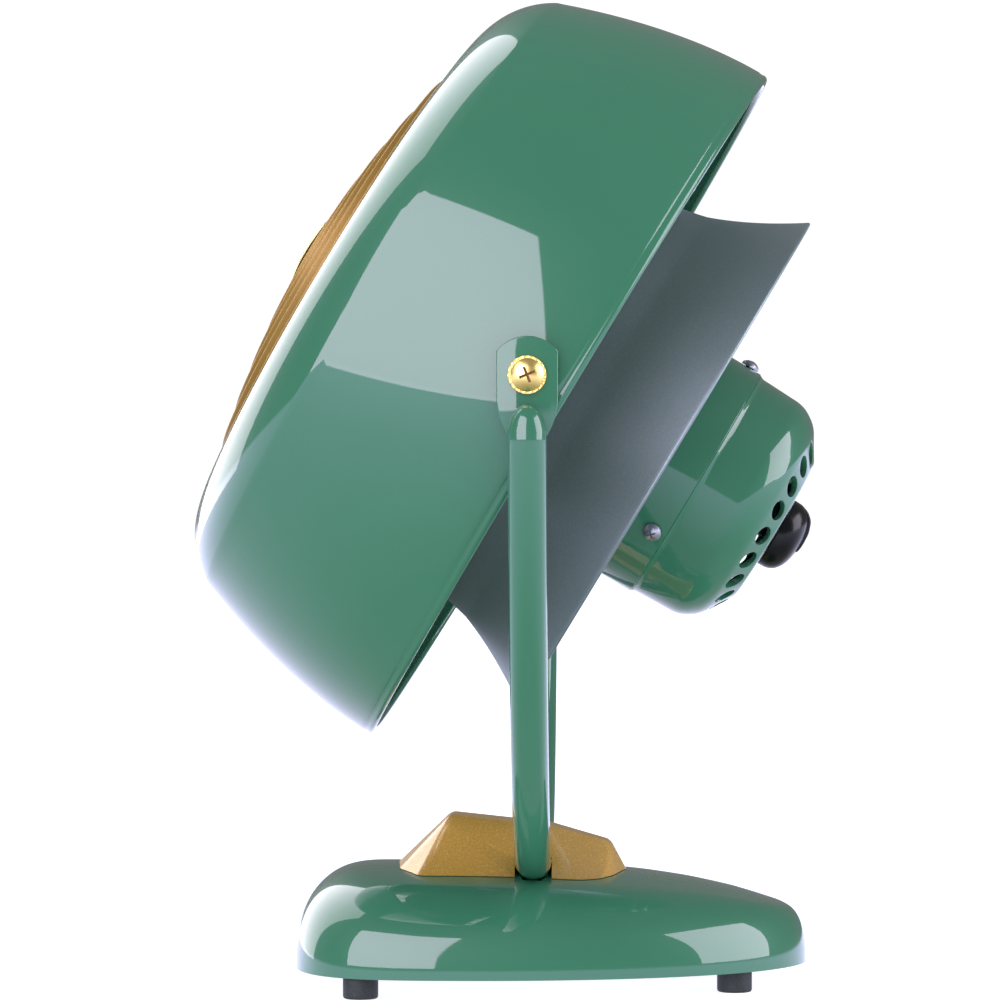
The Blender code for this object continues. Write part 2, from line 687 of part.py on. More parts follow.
def make_motor_trim(head):
    screw = turned_mesh(screw_profile(3.9 * MM, 2.9 * MM, 1.9 * MM, 7 * MM), 12)
    for number, angle in enumerate(SPOKE_ANGLES):
        place = about_z(angle) @ Matrix.Rotation(pi / 2, 4, "Y")
        place.translation = about_z(angle) @ Vector(
            (MOTOR_RADIUS + GAP, 0, HOUSING_SCREW_STATION))
        add_part("housing_screw_%d" % (number + 1), screw.copy(), "steel", head, place)
    grommet = [(2.2 * MM, 2.6 * MM), (5.6 * MM, 2.6 * MM), (6.0 * MM, 1.2 * MM),
               (4.2 * MM, 1.2 * MM), (4.2 * MM, -3.4 * MM), (2.2 * MM, -3.4 * MM)]
    add_part("cord_inlet", turned_mesh(grommet, 12, closed=True), "rubber", head,
             cord_inlet_place())


def make_motor_inside(head, rotor):
    core = ring_profile(29 * MM, 50.8 * MM, -70 * MM, -46 * MM)
    add_part("stator_core", turned_mesh(core, 28, closed=True), "cast_iron", head)
    for name, low, high in (("front", -45.6 * MM, -36.5 * MM), ("rear", -79.5 * MM, -70.4 * MM)):
        middle = (low + high) / 2
        coil = [(44 * MM, high - 2 * MM), (44 * MM, low + 2 * MM), (41 * MM, low),
                (33 * MM, low), (31 * MM, middle), (33 * MM, high), (41 * MM, high)]
        add_part("winding_" + name, turned_mesh(coil, 16, closed=True), "copper", head)
    rotor_ring = ring_profile(SHAFT_RADIUS + GAP, 28.4 * MM, -69 * MM, -47 * MM)
    add_part("rotor_core", turned_mesh(rotor_ring, 24, closed=True), "cast_iron", rotor)
    for name, low in (("front", MOTOR_FRONT - 8.3 * MM), ("rear", -90 * MM)):
        bush = ring_profile(SHAFT_RADIUS + GAP, 10 * MM, low, low + 6 * MM)
        add_part("bearing_" + name, turned_mesh(bush, 20, closed=True), "brass", head)
    ends = [(0, 32 * MM), (3.4 * MM, 32 * MM), (SHAFT_RADIUS, 30 * MM),
            (SHAFT_RADIUS, -93 * MM), (0, -93 * MM)]
    add_part("motor_shaft", turned_mesh(ends, 14), "steel", rotor)
    block = box_mesh((12 * MM, 30 * MM, 13 * MM), (-36 * MM, 0, -97.5 * MM))
    add_part("run_capacitor", block, "black_plastic", head)
    bridge = ring_profile(10.4 * MM, 49.2 * MM, -89.5 * MM, -87.5 * MM)
    add_part("bearing_bridge", turned_mesh(bridge, 28, closed=True), "steel", head)


def make_spider(head):
    """Ring and three arms that carry the motor in the duct's throat."""
    low, high = -46 * MM, -36.5 * MM
    ring = turned_mesh(ring_profile(MOTOR_RADIUS + GAP, 56.6 * MM, low, high), 36, closed=True)
    spider = add_part("motor_spider", ring, "grey_satin", head)
    inner, outer = 55.6 * MM, 100.4 * MM
    for angle in SPOKE_ANGLES:
        arm = box_mesh((outer - inner, 3 * MM, 8 * MM), ((outer + inner) / 2, 0, -41 * MM))
        arm.transform(about_z(angle + 60))
        boolean(spider, arm, "UNION")


def make_rear_guard(head):
    """Wire guard across the rear inlet, between the motor and the flare."""
    station = -58.0 * MM
    wire = 1.3 * MM

    def hoop(radius):
        return turned_mesh(
            [(radius + wire, station + wire), (radius + wire, station - wire),
             (radius - wire, station - wire), (radius - wire, station + wire)], 20, closed=True)

    guard = add_part("rear_guard", hoop(56.0 * MM), "grey_satin", head)
    for radius in (70 * MM, 84 * MM, 98 * MM):
        boolean(guard, hoop(radius), "UNION")
    for i in range(6):
        rod = box_mesh((55.2 * MM, 2.2 * MM, 2.0 * MM), (83.3 * MM, 0, station))
        rod.transform(about_z(60 * i + 27))
        boolean(guard, rod, "UNION")


# ---------------------------------------------------------------- propeller and knob

def blade_mesh(angle):
    """One deep-pitch blade, lofted from a narrow root to a wide tip."""
    rows, columns = 5, 5

    def build(shape):
        grid = []
        for i in range(rows):
            out = i / (rows - 1)
            radius = (17 + 70 * out) * MM
            sweep = radians(34 + 26 * out)
            rise = (26 - 8 * out) * MM
            line = []
            for j in range(columns):
                along = j / (columns - 1) - 0.5
                turn = radians(angle) + sweep * along
                line.append(shape.verts.new((
                    radius * cos(turn), radius * sin(turn),
                    14 * MM + rise * along - 3 * MM * (1 - 4 * along * along))))
            grid.append(line)
        for i in range(rows - 1):
            for j in range(columns - 1):
                shape.faces.new((grid[i][j], grid[i + 1][j],
                                 grid[i + 1][j + 1], grid[i][j + 1]))

    guide = bpy.data.objects.new("blade", mesh_from(build))
    FAN.objects.link(guide)
    sheet = guide.modifiers.new("Solidify", "SOLIDIFY")
    sheet.thickness = 1.8 * MM
    sheet.offset = 0.0
    made = evaluated_mesh(guide)
    bpy.data.objects.remove(guide, do_unlink=True)
    return made


def make_propeller(rotor):
    bore = SHAFT_RADIUS + GAP
    hub = [(bore, 26 * MM), (18 * MM, 26 * MM), (21 * MM, 22 * MM), (22 * MM, 2 * MM),
           (bore, 2 * MM)]
    propeller = add_part("propeller", turned_mesh(hub, 18, closed=True), "black_plastic", rotor)
    joined(propeller, [blade_mesh(angle) for angle in (20, 140, 260)])
    nut = nut_mesh(SHAFT_RADIUS, 8 * MM, 26.4 * MM, 30 * MM)
    add_part("propeller_nut", nut, "steel", rotor)


def make_knob(head, knob):
    """Rotary speed switch in the rear cover, with its knob on the outside."""
    face = MOTOR_REAR - GAP
    body = [(14 * MM, -97 * MM), (14 * MM, -112 * MM), (5.2 * MM, -112 * MM),
            (5.2 * MM, -120.4 * MM), (3.2 * MM, -120.4 * MM), (3.2 * MM, -97 * MM)]
    add_part("switch_body", turned_mesh(body, 18, closed=True), "black_plastic", head)
    nut = nut_mesh(5.2 * MM, 9 * MM, face - 2 * MM, face)
    add_part("switch_nut", nut, "steel", head)
    rod = [(0, -98 * MM), (2.8 * MM, -98 * MM), (2.8 * MM, -126 * MM), (0, -126 * MM)]
    add_part("switch_shaft", turned_mesh(rod, 12), "steel", knob)
    back = face - KNOB_DEPTH
    skirt = face - 0.6 * MM
    hollow = [(0, -126.3 * MM), (3.1 * MM, -126.3 * MM), (3.1 * MM, -122 * MM),
              (11 * MM, -122 * MM), (11 * MM, skirt), (KNOB_RADIUS, skirt)]
    dome = cubic((KNOB_RADIUS, skirt - 4 * MM), (KNOB_RADIUS - 1 * MM, back + 3 * MM),
                 (10 * MM, back), (0, back), 6)
    add_part("speed_knob", turned_mesh(hollow + dome, 20), "black_plastic", knob)


# ---------------------------------------------------------------- pivots

def make_pivots(head):
    """Screw, washer and nut of each side's tilt pivot."""
    seat = PADDLE_INNER + PADDLE_THICK + GAP
    screw = turned_mesh(
        screw_profile(7.45 * MM, 4.2 * MM, SHAFT_RADIUS, seat - 150.5 * MM), 16)
    washer = turned_mesh(
        ring_profile(PIVOT_HOLE, 9 * MM, 161.6 * MM, PADDLE_INNER - GAP), 18, closed=True)
    nut = nut_mesh(SHAFT_RADIUS, 8 * MM, 152.5 * MM, 158.2 * MM)
    for name, side in (("right", 1), ("left", -1)):
        turn = Matrix.Rotation(side * pi / 2, 4, "Y")
        place = turn @ Matrix.Translation((0, 0, seat))
        add_part("pivot_screw_" + name, screw.copy(), "brass", head, place)
        add_part("pivot_washer_" + name, washer.copy(), "black_plastic", head, turn)
        add_part("pivot_nut_" + name, nut.copy(), "steel", head, turn)


# ---------------------------------------------------------------- the fan

def make_axes():
    """Empties on the joints: the head tilts, the rotor and the knob turn about its axis."""
    head = bpy.data.objects.new("tilt_axis", None)
    head.location = PIVOT
    head.rotation_euler = (pi / 2 - TILT_REST, 0, 0)
    rotor = bpy.data.objects.new("spin_axis", None)
    knob = bpy.data.objects.new("knob_axis", None)
    for empty in (head, rotor, knob):
        FAN.objects.link(empty)
    rotor.parent = head
    knob.parent = head
    return head, rotor, knob


def main():
    make_base()
    make_feet()
    make_yoke()
    make_clamp()
    make_saddle_cover()
    head, rotor, knob = make_axes()
    make_shroud(head)
    make_grille(head)
    make_grille_clips(head)
    make_duct(head)
    make_brackets(head)
    make_motor_covers(head)
    make_motor_trim(head)
    make_motor_inside(head, rotor)
    make_spider(head)
    make_rear_guard(head)
    make_propeller(rotor)
    make_knob(head, knob)
    make_pivots(head)
    bpy.context.view_layer.update()


clear_scene()
FAN = new_collection("desk_fan")
CUTTERS = new_collection("cutters")
main()
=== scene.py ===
"""Looks for the desk fan: enamel barrel head, gilt grille, tubular yoke and cast base."""
from math import atan2, cos, pi, radians, sin, sqrt, tau

import bmesh
import bpy
from mathutils import Matrix, Vector


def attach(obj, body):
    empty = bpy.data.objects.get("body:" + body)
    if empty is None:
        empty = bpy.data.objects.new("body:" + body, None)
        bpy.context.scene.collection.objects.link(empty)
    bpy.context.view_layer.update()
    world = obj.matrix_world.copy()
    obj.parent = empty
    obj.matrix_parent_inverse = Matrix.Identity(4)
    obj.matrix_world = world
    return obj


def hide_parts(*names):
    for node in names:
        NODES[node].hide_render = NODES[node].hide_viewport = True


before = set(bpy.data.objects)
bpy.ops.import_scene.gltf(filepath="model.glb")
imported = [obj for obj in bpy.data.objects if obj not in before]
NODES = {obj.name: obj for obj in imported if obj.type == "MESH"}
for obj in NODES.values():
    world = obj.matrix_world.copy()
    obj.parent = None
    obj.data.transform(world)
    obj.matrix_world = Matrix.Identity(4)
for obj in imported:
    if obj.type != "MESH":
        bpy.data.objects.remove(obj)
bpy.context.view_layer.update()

MM = 0.001
PIVOT = Vector((0.0, 0.0136, 0.2505))
TILT = radians(31.1)        # the fan axis points this far above level
HEAD = Matrix.Translation(PIVOT) @ Matrix.Rotation(pi / 2 - TILT, 4, "X")
ACROSS = Matrix.Rotation(pi / 2, 4, "Y")    # stands a turned piece's axis along +X
SPOKES = (90, -30, 210)     # brackets and case screws, in degrees round the fan axis

# Base, in metres.
BASE_BOTTOM = 8.8 * MM
BASE_TOP = 49.5 * MM
BASE_HALF_WIDTH = 87.0 * MM
WIDE_Y = -14.5 * MM         # where the base is widest
FRONT_LENGTH = 72.2 * MM    # from there to the front
REAR_LENGTH = 142.7 * MM
SHOULDER = 36.0 * MM        # how far the rounded shoulder reaches in
REAR_SHOULDER = 0.26        # the same at the rear, as a share of it
SQUARE = 2.6                # squareness of the shoulder's section
CROWN_RADIUS = 350.0 * MM   # of the top, seen from the front
CREST_FALL = 2.95 * MM      # how far the top falls over CREST_RUN
CREST_FROM = WIDE_Y - 35 * MM
CREST_RUN = 102.5 * MM
CREST_POWER = 3.55

# Feet, yoke and head, in millimetres. A head outline is a list of (radius, station)
# points, with stations measured along the fan axis from the pivot, + forward.
FEET = {"front_right": (72, -56), "front_left": (-72, -56),
        "rear_right": (44, 96.6), "rear_left": (-44, 96.6)}
TUBE_RADIUS = 7.5
TUBE_LOW = 52.7             # height of the tube's centre where it lies on the base
TUBE_FLAT = 36.3            # half length of that flat run
TUBE_BLEND = 56.0           # where the flat run has become part of the bow
YOKE_HALF_WIDTH = 171.6
YOKE_DROP = 205.0
PADDLE_INNER = 163.2        # inner face of the yoke's flattened ends
PADDLE_THICK = 4.0
PADDLE_HALF = 11.85
PADDLE_ROUND = 15.0         # radius of their round tops
SHELL = 1.5                 # sheet thickness of the shroud and the duct
SHROUD_RADIUS = 161.6
BELLY_FROM = -13.6          # the barrel narrows forward from here
BELLY_LENGTH = 88.0
BELLY_DEPTH = 18.5          # by this much over that length
GRILLE_CROWN = 110.9
GRILLE_FALL = 18.7          # from the grille's crown back to its rim
GRILLE_RADIUS = 116.8
GRILLE_RINGS = (25.5, 41.5, 57.5, 73.5, 89.5, 105.5, 115.2)
BADGE_TOP = 112.9
DUCT_FRONT = 27.0
MOTOR_RADIUS = 53.4
MOTOR_SEAM = -79.3
MOTOR_REAR = -117.9
CASE_SCREW = -73.6          # station of the case screws
VENTS = 20
VENT_RADIUS = 4.3
VENT_PLACE = (39.3 * MM, 0.0, -113.7 * MM)  # the first vent, on the cover's cone
VENT_SLOPE = 122            # degrees its axis leans from the fan axis
VENT_PHASE = 11             # degrees round to the first vent
INLET = (222, 51 * MM, -96.5 * MM)          # angle, radius and station, for side_place
GUARD = -58.0               # station of the wire guard
SPIDER = -41.0              # station of the motor's carrier
STRAP = -12.8               # station of the brackets' flat part
BLADES = (20, 140, 260)

# Stage, in metres and degrees.
LIGHT_DISTANCE = 6.0
FLOOR_GLOW = 0.80
CAMERA_SPOT = Vector((1.7994, 0.0459, 0.2025))
CAMERA_AIM = Vector((0.0, -0.0012, 0.2025))
LENS = 153.2


# ------------------------------------------------------------------ materials

def srgb(r, g, b):
    """Linear colour from 8-bit display values."""
    def linear(v):
        v /= 255
        return v / 12.92 if v <= 0.04045 else ((v + 0.055) / 1.055) ** 2.4
    return (linear(r), linear(g), linear(b), 1.0)


def scaled(color, gain):
    return tuple(min(1.0, c * gain) for c in color[:3]) + (1.0,)


class Paint:
    """A node material: two scales of colour variation, varied roughness and a fine bump.

    broad and fine are (noise scale, share of variation); bump is (scale, strength, depth).
    """

    def __init__(self, name, color, roughness, metallic=0.0, coat=0.0, coat_roughness=0.03,
                 broad=(30.0, 0.04), fine=(2500.0, 0.04), rough_spread=0.03,
                 bump=(1800.0, 0.03, 0.00005), specular=0.5, detail=3.0):
        self.made = bpy.data.materials.new(name)
        self.made.use_nodes = True
        self.tree = self.made.node_tree
        self.shader = self.tree.nodes["Principled BSDF"]
        inputs = self.shader.inputs
        inputs["Metallic"].default_value = metallic
        inputs["Coat Weight"].default_value = coat
        inputs["Coat Roughness"].default_value = coat_roughness
        inputs["Specular IOR Level"].default_value = specular
        where = self.tree.nodes.new("ShaderNodeTexCoord").outputs["Object"]
        large = self.noise(where, broad[0], 2.0)
        small = self.noise(where, fine[0], detail)
        first = self.mix(large, scaled(color, 1 - broad[1]), scaled(color, 1 + broad[1]))
        grain = self.span(small, 0.3, 0.7, 1 - fine[1], 1 + fine[1])
        shaded = self.tree.nodes.new("ShaderNodeVectorMath")
        shaded.operation = "SCALE"
        self.link(first, shaded.inputs[0])
        self.link(grain, shaded.inputs["Scale"])
        self.color = shaded.outputs[0]
        self.link(self.color, inputs["Base Color"])
        rough = self.span(large, 0.3, 0.7, max(0.02, roughness - rough_spread),
                          roughness + rough_spread)
        self.link(rough, inputs["Roughness"])
        relief = self.tree.nodes.new("ShaderNodeBump")
        relief.inputs["Strength"].default_value = bump[1]
        relief.inputs["Distance"].default_value = bump[2]
        self.link(self.noise(where, bump[0], 2.0), relief.inputs["Height"])
        self.link(relief.outputs["Normal"], inputs["Normal"])
        self.where = where

    def link(self, source, target):
        self.tree.links.new(source, target)

    def noise(self, where, scale, detail):
        node = self.tree.nodes.new("ShaderNodeTexNoise")
        node.inputs["Scale"].default_value = scale
        node.inputs["Detail"].default_value = detail
        self.link(where, node.inputs["Vector"])
        return node.outputs["Fac"]

    def mix(self, factor, low, high):
        node = self.tree.nodes.new("ShaderNodeMix")
        node.data_type = "RGBA"
        for socket, value in (("A_Color", low), ("B_Color", high)):
            found = [s for s in node.inputs if s.identifier == socket][0]
            if isinstance(value, tuple):
                found.default_value = value
            else:
                self.link(value, found)
        self.link(factor, [s for s in node.inputs if s.identifier == "Factor_Float"][0])
        return [s for s in node.outputs if s.identifier == "Result_Color"][0]

    def span(self, value, low, high, to_low, to_high):
        node = self.tree.nodes.new("ShaderNodeMapRange")
        for socket, number in zip(("From Min", "From Max", "To Min", "To Max"),
                                  (low, high, to_low, to_high)):
            node.inputs[socket].default_value = number
        self.link(value, node.inputs["Value"])
        return node.outputs["Result"]

    def flakes(self, scale, share, color):
        """Bright metallic specks, each one a small cell of its own."""
        cells = self.tree.nodes.new("ShaderNodeTexVoronoi")
        cells.inputs["Scale"].default_value = scale
        self.link(self.where, cells.inputs["Vector"])
        parts = self.tree.nodes.new("ShaderNodeSeparateColor")
        self.link(cells.outputs["Color"], parts.inputs["Color"])
        chosen = self.span(parts.outputs[0], 1 - share, 1.0, 0.0, 1.0)
        self.color = self.mix(chosen, self.color, color)
        self.link(self.color, self.shader.inputs["Base Color"])
        return self


GREEN = srgb(64, 134, 108)
enamel = Paint("green_enamel", GREEN, 0.35, coat=1.0, coat_roughness=0.035,
               broad=(18.0, 0.03), fine=(2600.0, 0.035), bump=(700.0, 0.02, 0.00004),
               specular=0.08).made
gold = Paint("gold_paint", srgb(224, 172, 74), 0.40, metallic=0.15, coat=0.6,
             coat_roughness=0.07, broad=(25.0, 0.03), fine=(1700.0, 0.16),
             bump=(2000.0, 0.08, 0.00004), detail=2.0).flakes(
                 2000.0, 0.16, srgb(244, 206, 120)).made
gilt = Paint("gilt_grille", srgb(176, 138, 66), 0.42, metallic=0.15, coat=0.05,
             coat_roughness=0.1, specular=0.2, broad=(40.0, 0.05), fine=(2400.0, 0.07),
             bump=(1500.0, 0.05, 0.00004)).made
satin = Paint("grey_satin", srgb(134, 150, 156), 0.46, metallic=0.55, broad=(14.0, 0.04),
              fine=(3200.0, 0.12), bump=(2800.0, 0.12, 0.00005), detail=2.0).flakes(
                  3500.0, 0.12, srgb(150, 164, 167)).made
brass = Paint("brass", srgb(236, 212, 128), 0.30, metallic=0.9, broad=(300.0, 0.04),
              fine=(2600.0, 0.04), bump=(900.0, 0.03, 0.00003)).made
# Darker brass, painted on the floors of the pivot screws' cross recesses as painted shade.
recess_shade_brass = Paint("brass_painted_shade", srgb(96, 66, 30), 0.5, metallic=0.6,
                   broad=(300.0, 0.1), fine=(2600.0, 0.1)).made
steel = Paint("plated_steel", srgb(186, 191, 196), 0.33, metallic=1.0, broad=(200.0, 0.03),
              fine=(2600.0, 0.03), bump=(1200.0, 0.03, 0.00003)).made
# Darker steel for the motor's core and shafts; also painted on the case screws' cross recess
# floors as painted shade.
core_steel = Paint("core_steel", srgb(120, 122, 126), 0.42, metallic=1.0,
                   broad=(160.0, 0.08), fine=(1600.0, 0.1),
                   bump=(900.0, 0.1, 0.00008)).made
iron = Paint("cast_iron", srgb(70, 71, 74), 0.62, metallic=0.7, broad=(90.0, 0.12),
             fine=(900.0, 0.16), bump=(600.0, 0.3, 0.0002)).made
copper = Paint("copper", srgb(176, 92, 52), 0.34, metallic=1.0, broad=(120.0, 0.08),
               fine=(900.0, 0.14), bump=(500.0, 0.3, 0.0002)).made
plastic = Paint("black_plastic", srgb(18, 20, 21), 0.24, coat=0.1, coat_roughness=0.10,
                broad=(60.0, 0.1), fine=(2400.0, 0.12), bump=(1400.0, 0.05, 0.00005),
                specular=0.22).made
rubber = Paint("rubber", srgb(54, 60, 63), 0.60, broad=(120.0, 0.10), fine=(1500.0, 0.22),
               bump=(1300.0, 0.25, 0.00012), specular=0.25, detail=2.0).made


# ------------------------------------------------------------------ mesh helpers

def place_piece(name, mesh, finish, body, stands_for, matrix=Matrix(), sharp=32,
                recess=None):
    """Make a mesh a named piece that rides on a body and stands for CAD nodes."""
    piece = bpy.data.objects.new(name, mesh)
    bpy.context.scene.collection.objects.link(piece)
    mesh.materials.clear()
    for one in finish if isinstance(finish, (list, tuple)) else [finish]:
        mesh.materials.append(one)
    # recess gives where to paint shade: the cross recess floors get the second, darker material
    # as painted shade.
    if recess:
        paint_recess_shade(mesh, *recess)
    mesh.transform(matrix)
    mesh.shade_smooth()
    mesh.set_sharp_from_angle(angle=radians(sharp))
    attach(piece, body)
    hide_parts(*stands_for)


def mesh_of(shape, name):
    bmesh.ops.recalc_face_normals(shape, faces=shape.faces)
    mesh = bpy.data.meshes.new(name)
    shape.to_mesh(mesh)
    shape.free()
    return mesh


def turned(profile, steps, closed=True, relief=None):
    """Solid of revolution about Z; relief(turn, radius, height) may move a point."""
    shape = bmesh.new()
    rings = []
    for radius, height in profile:
        if radius < 1e-7:
            rings.append([shape.verts.new((0, 0, height))])
            continue
        ring = []
        for i in range(steps):
            turn = tau * i / steps
            r, h = relief(turn, radius, height) if relief else (radius, height)
            ring.append(shape.verts.new((r * cos(turn), r * sin(turn), h)))
        rings.append(ring)
    pairs = list(zip(rings, rings[1:]))
    if closed:
        pairs.append((rings[-1], rings[0]))
    for a, b in pairs:
        if len(a) == 1 and len(b) == 1:
            continue
        for i in range(steps):
            j = (i + 1) % steps
            corners = [a[i % len(a)], b[i % len(b)], b[j % len(b)], a[j % len(a)]]
            shape.faces.new(list(dict.fromkeys(corners)))
    return mesh_of(shape, "turned")


def rounded(points, radius, count=5, closed=False):
    """A (radius, height) outline with its corners rounded; ends stay put unless closed."""
    made = []
    total = len(points)
    for i, point in enumerate(points):
        size = radius[i] if isinstance(radius, (list, tuple)) else radius
        if (not closed and i in (0, total - 1)) or size <= 0:
            made.append(tuple(point))
            continue
        here = Vector(point)
        back = Vector(points[i - 1]) - here
        ahead = Vector(points[(i + 1) % total]) - here
        reach = min(size, 0.48 * back.length, 0.48 * ahead.length)
        start = here + back.normalized() * reach
        end = here + ahead.normalized() * reach
        for k in range(count + 1):
            t = k / count
            spot = start * (1 - t) ** 2 + here * 2 * t * (1 - t) + end * t * t
            made.append((spot.x, spot.y))
    return made


def cubic(start, first, second, end, count):
    """Points along a cubic curve between its two ends."""
    controls = (start, first, second, end)
    points = []
    for i in range(count):
        t = i / (count - 1)
        weights = ((1 - t) ** 3, 3 * t * (1 - t) ** 2, 3 * t * t * (1 - t), t ** 3)
        points.append(tuple(sum(w * p[axis] for w, p in zip(weights, controls))
                            for axis in (0, 1)))
    return points


def mm(points):
    """An outline in millimetres, turned into metres."""
    return [(r * MM, h * MM) for r, h in points]


def offset(profile, distance):
    """The same outline moved to its inner side."""
    moved = []
    for i, point in enumerate(profile):
        before = profile[max(i - 1, 0)]
        after = profile[min(i + 1, len(profile) - 1)]
        run = Vector((after[0] - before[0], after[1] - before[1])).normalized()
        moved.append((point[0] + run.y * distance, point[1] - run.x * distance))
    return moved


def arc(centre, radius, start, end, count):
    turns = [radians(start + (end - start) * i / (count - 1)) for i in range(count)]
    return [(centre[0] + radius * cos(a), centre[1] + radius * sin(a)) for a in turns]


def about_z(angle):
    return Matrix.Rotation(radians(angle), 4, "Z")


def side_place(angle, radius, station, body=HEAD):
    """A place on the head's side: local Z points outward from the fan axis."""
    place = about_z(angle) @ Matrix.Rotation(pi / 2, 4, "Y")
    place.translation = about_z(angle) @ Vector((radius, 0, station))
    return body @ place


def extruded(outline, vector):
    """The flat face with this outline, pushed out along a vector."""
    shape = bmesh.new()
    face = shape.faces.new([shape.verts.new(p) for p in outline])
    far = bmesh.ops.extrude_face_region(shape, geom=[face])
    moved = [g for g in far["geom"] if isinstance(g, bmesh.types.BMVert)]
    bmesh.ops.translate(shape, vec=vector, verts=moved)
    return mesh_of(shape, "extruded")


def block(size, centre, turn=Matrix()):
    """A box given by its size."""
    shape = bmesh.new()
    place = Matrix.Translation(centre) @ turn
    bmesh.ops.create_cube(shape, size=1.0, matrix=place @ Matrix.Diagonal((*size, 1)))
    return mesh_of(shape, "block")


def rod_cutter(radius, half_length, steps):
    """A plain cylinder about Z, given in millimetres."""
    outline = [(0, half_length), (radius, half_length), (radius, -half_length),
               (0, -half_length)]
    return turned(mm(outline), steps, closed=False)


def merged(meshes):
    shape = bmesh.new()
    for mesh in meshes:
        shape.from_mesh(mesh)
    mesh = bpy.data.meshes.new("merged")
    shape.to_mesh(mesh)
    shape.free()
    return mesh


def applied(mesh, steps):
    """The mesh after the given modifiers: (kind, settings), or ("BOOLEAN", cutter mesh)."""
    holder = bpy.data.objects.new("holder", mesh)
    bpy.context.scene.collection.objects.link(holder)
    spare = []
    for kind, settings in steps:
        step = holder.modifiers.new(kind, kind)
        if kind == "BOOLEAN":
            tool = bpy.data.objects.new("tool", settings)
            bpy.context.scene.collection.objects.link(tool)
            spare.append(tool)
            step.object = tool
            step.solver = "EXACT"
            step.operation = "DIFFERENCE"
            continue
        for key, value in settings.items():
            setattr(step, key, value)
    bpy.context.view_layer.update()
    graph = bpy.context.evaluated_depsgraph_get()
    made = bpy.data.meshes.new_from_object(holder.evaluated_get(graph))
    for item in spare + [holder]:
        bpy.data.objects.remove(item, do_unlink=True)
    return made


def soft_edges(width, segments, angle):
    """A bevel step: width in millimetres, on edges sharper than the angle in degrees."""
    return ("BEVEL", {"width": width * MM, "segments": segments, "limit_method": "ANGLE",
                      "angle_limit": radians(angle), "harden_normals": False})


def swept(points, radius, sides):
    """A round tube along points, closed at both ends."""
    shape = bmesh.new()
    rings = []
    normal = None
    for i, point in enumerate(points):
        before = points[max(i - 1, 0)]
        after = points[min(i + 1, len(points) - 1)]
        run = (Vector(after) - Vector(before)).normalized()
        if normal is None:
            normal = run.orthogonal().normalized()
        normal = (normal - run * normal.dot(run)).normalized()
        other = run.cross(normal)
        rings.append([shape.verts.new(Vector(point) + normal * radius * cos(tau * k / sides)
                                      + other * radius * sin(tau * k / sides))
                      for k in range(sides)])
    for a, b in zip(rings, rings[1:]):
        for i in range(sides):
            j = (i + 1) % sides
            shape.faces.new((a[i], a[j], b[j], b[i]))
    shape.faces.new(rings[0])
    shape.faces.new(list(reversed(rings[-1])))
    return mesh_of(shape, "swept")


# ------------------------------------------------------------------ base

def base_outline(count, inset, reach):
    """Plan of the base: blunt in front, egg-shaped at the rear, with a short shoulder there."""
    points = []
    for i in range(count):
        angle = tau * i / count
        rear = sin(angle) > 0
        power = 2.1 if rear else 3.2
        length = REAR_LENGTH - REAR_SHOULDER * reach if rear else FRONT_LENGTH - reach
        x = (BASE_HALF_WIDTH - inset - reach) * abs(cos(angle)) ** (2 / power)
        y = (length - inset) * abs(sin(angle)) ** (2 / power)
        points.append((x if cos(angle) > 0 else -x, WIDE_Y + (y if rear else -y)))
    return points


def base_crest(x, y):
    """Height of the crowned top, which falls away towards the rear."""
    fall = CREST_FALL * max(0.0, (y - CREST_FROM) / CREST_RUN) ** CREST_POWER
    return BASE_TOP - fall - x * x / (2 * CROWN_RADIUS)


def base_rings(shape, count, levels, floor, inset=0.0, lowered=0.0):
    """Loft the base from its plan up over the shoulder to the crown; returns its rim."""
    crown = 8
    steps = [(pi / 2 * i / (levels - 1), 1.0) for i in range(levels)]
    steps += [(pi / 2, 1 - 0.95 * (i + 1) / crown) for i in range(crown)]
    rings = []
    for turn, spread in steps:
        rise = sin(turn) ** (2 / SQUARE)
        reach = SHOULDER * (1 - cos(turn) ** (2 / SQUARE))
        ring = []
        for x, y in base_outline(count, inset, reach):
            x *= spread
            y = WIDE_Y + (y - WIDE_Y) * spread
            top = base_crest(x, y) - lowered
            ring.append(shape.verts.new((x, y, floor + (top - floor) * rise)))
        rings.append(ring)
    for low, high in zip(rings, rings[1:]):
        for i in range(count):
            j = (i + 1) % count
            shape.faces.new((low[i], low[j], high[j], high[i]))
    shape.faces.new(rings[-1])
    return rings[0]


def make_base():
    count = 160
    shape = bmesh.new()
    outer = base_rings(shape, count, 34, BASE_BOTTOM)
    inner = base_rings(shape, count, 12, BASE_BOTTOM + 0.2 * MM, 3 * MM, 6.5 * MM)
    for i in range(count):
        j = (i + 1) % count
        shape.faces.new((outer[j], outer[i], inner[i], inner[j]))
    groove = rod_cutter(TUBE_RADIUS + 0.4, 46.9, 48)
    groove.transform(Matrix.Translation((0, PIVOT.y, TUBE_LOW * MM)) @ ACROSS)
    base = applied(mesh_of(shape, "base"), [("BOOLEAN", groove)])
    place_piece("base_casting", base, enamel, "stand", ["base_shell"])


def make_feet():
    for name, (x, y) in FEET.items():
        outline = rounded([(2.0, 8.8), (7.2, 8.8), (7.2, 0.0), (4.2, 0.0), (4.2, 3.4),
                           (2.0, 3.4)], [0, 0.3, 1.3, 0.5, 0.3, 0], closed=True)
        place_piece("foot_pad_" + name, turned(mm(outline), 64), rubber, "stand",
                    ["foot_" + name], Matrix.Translation((x * MM, y * MM, 0)))


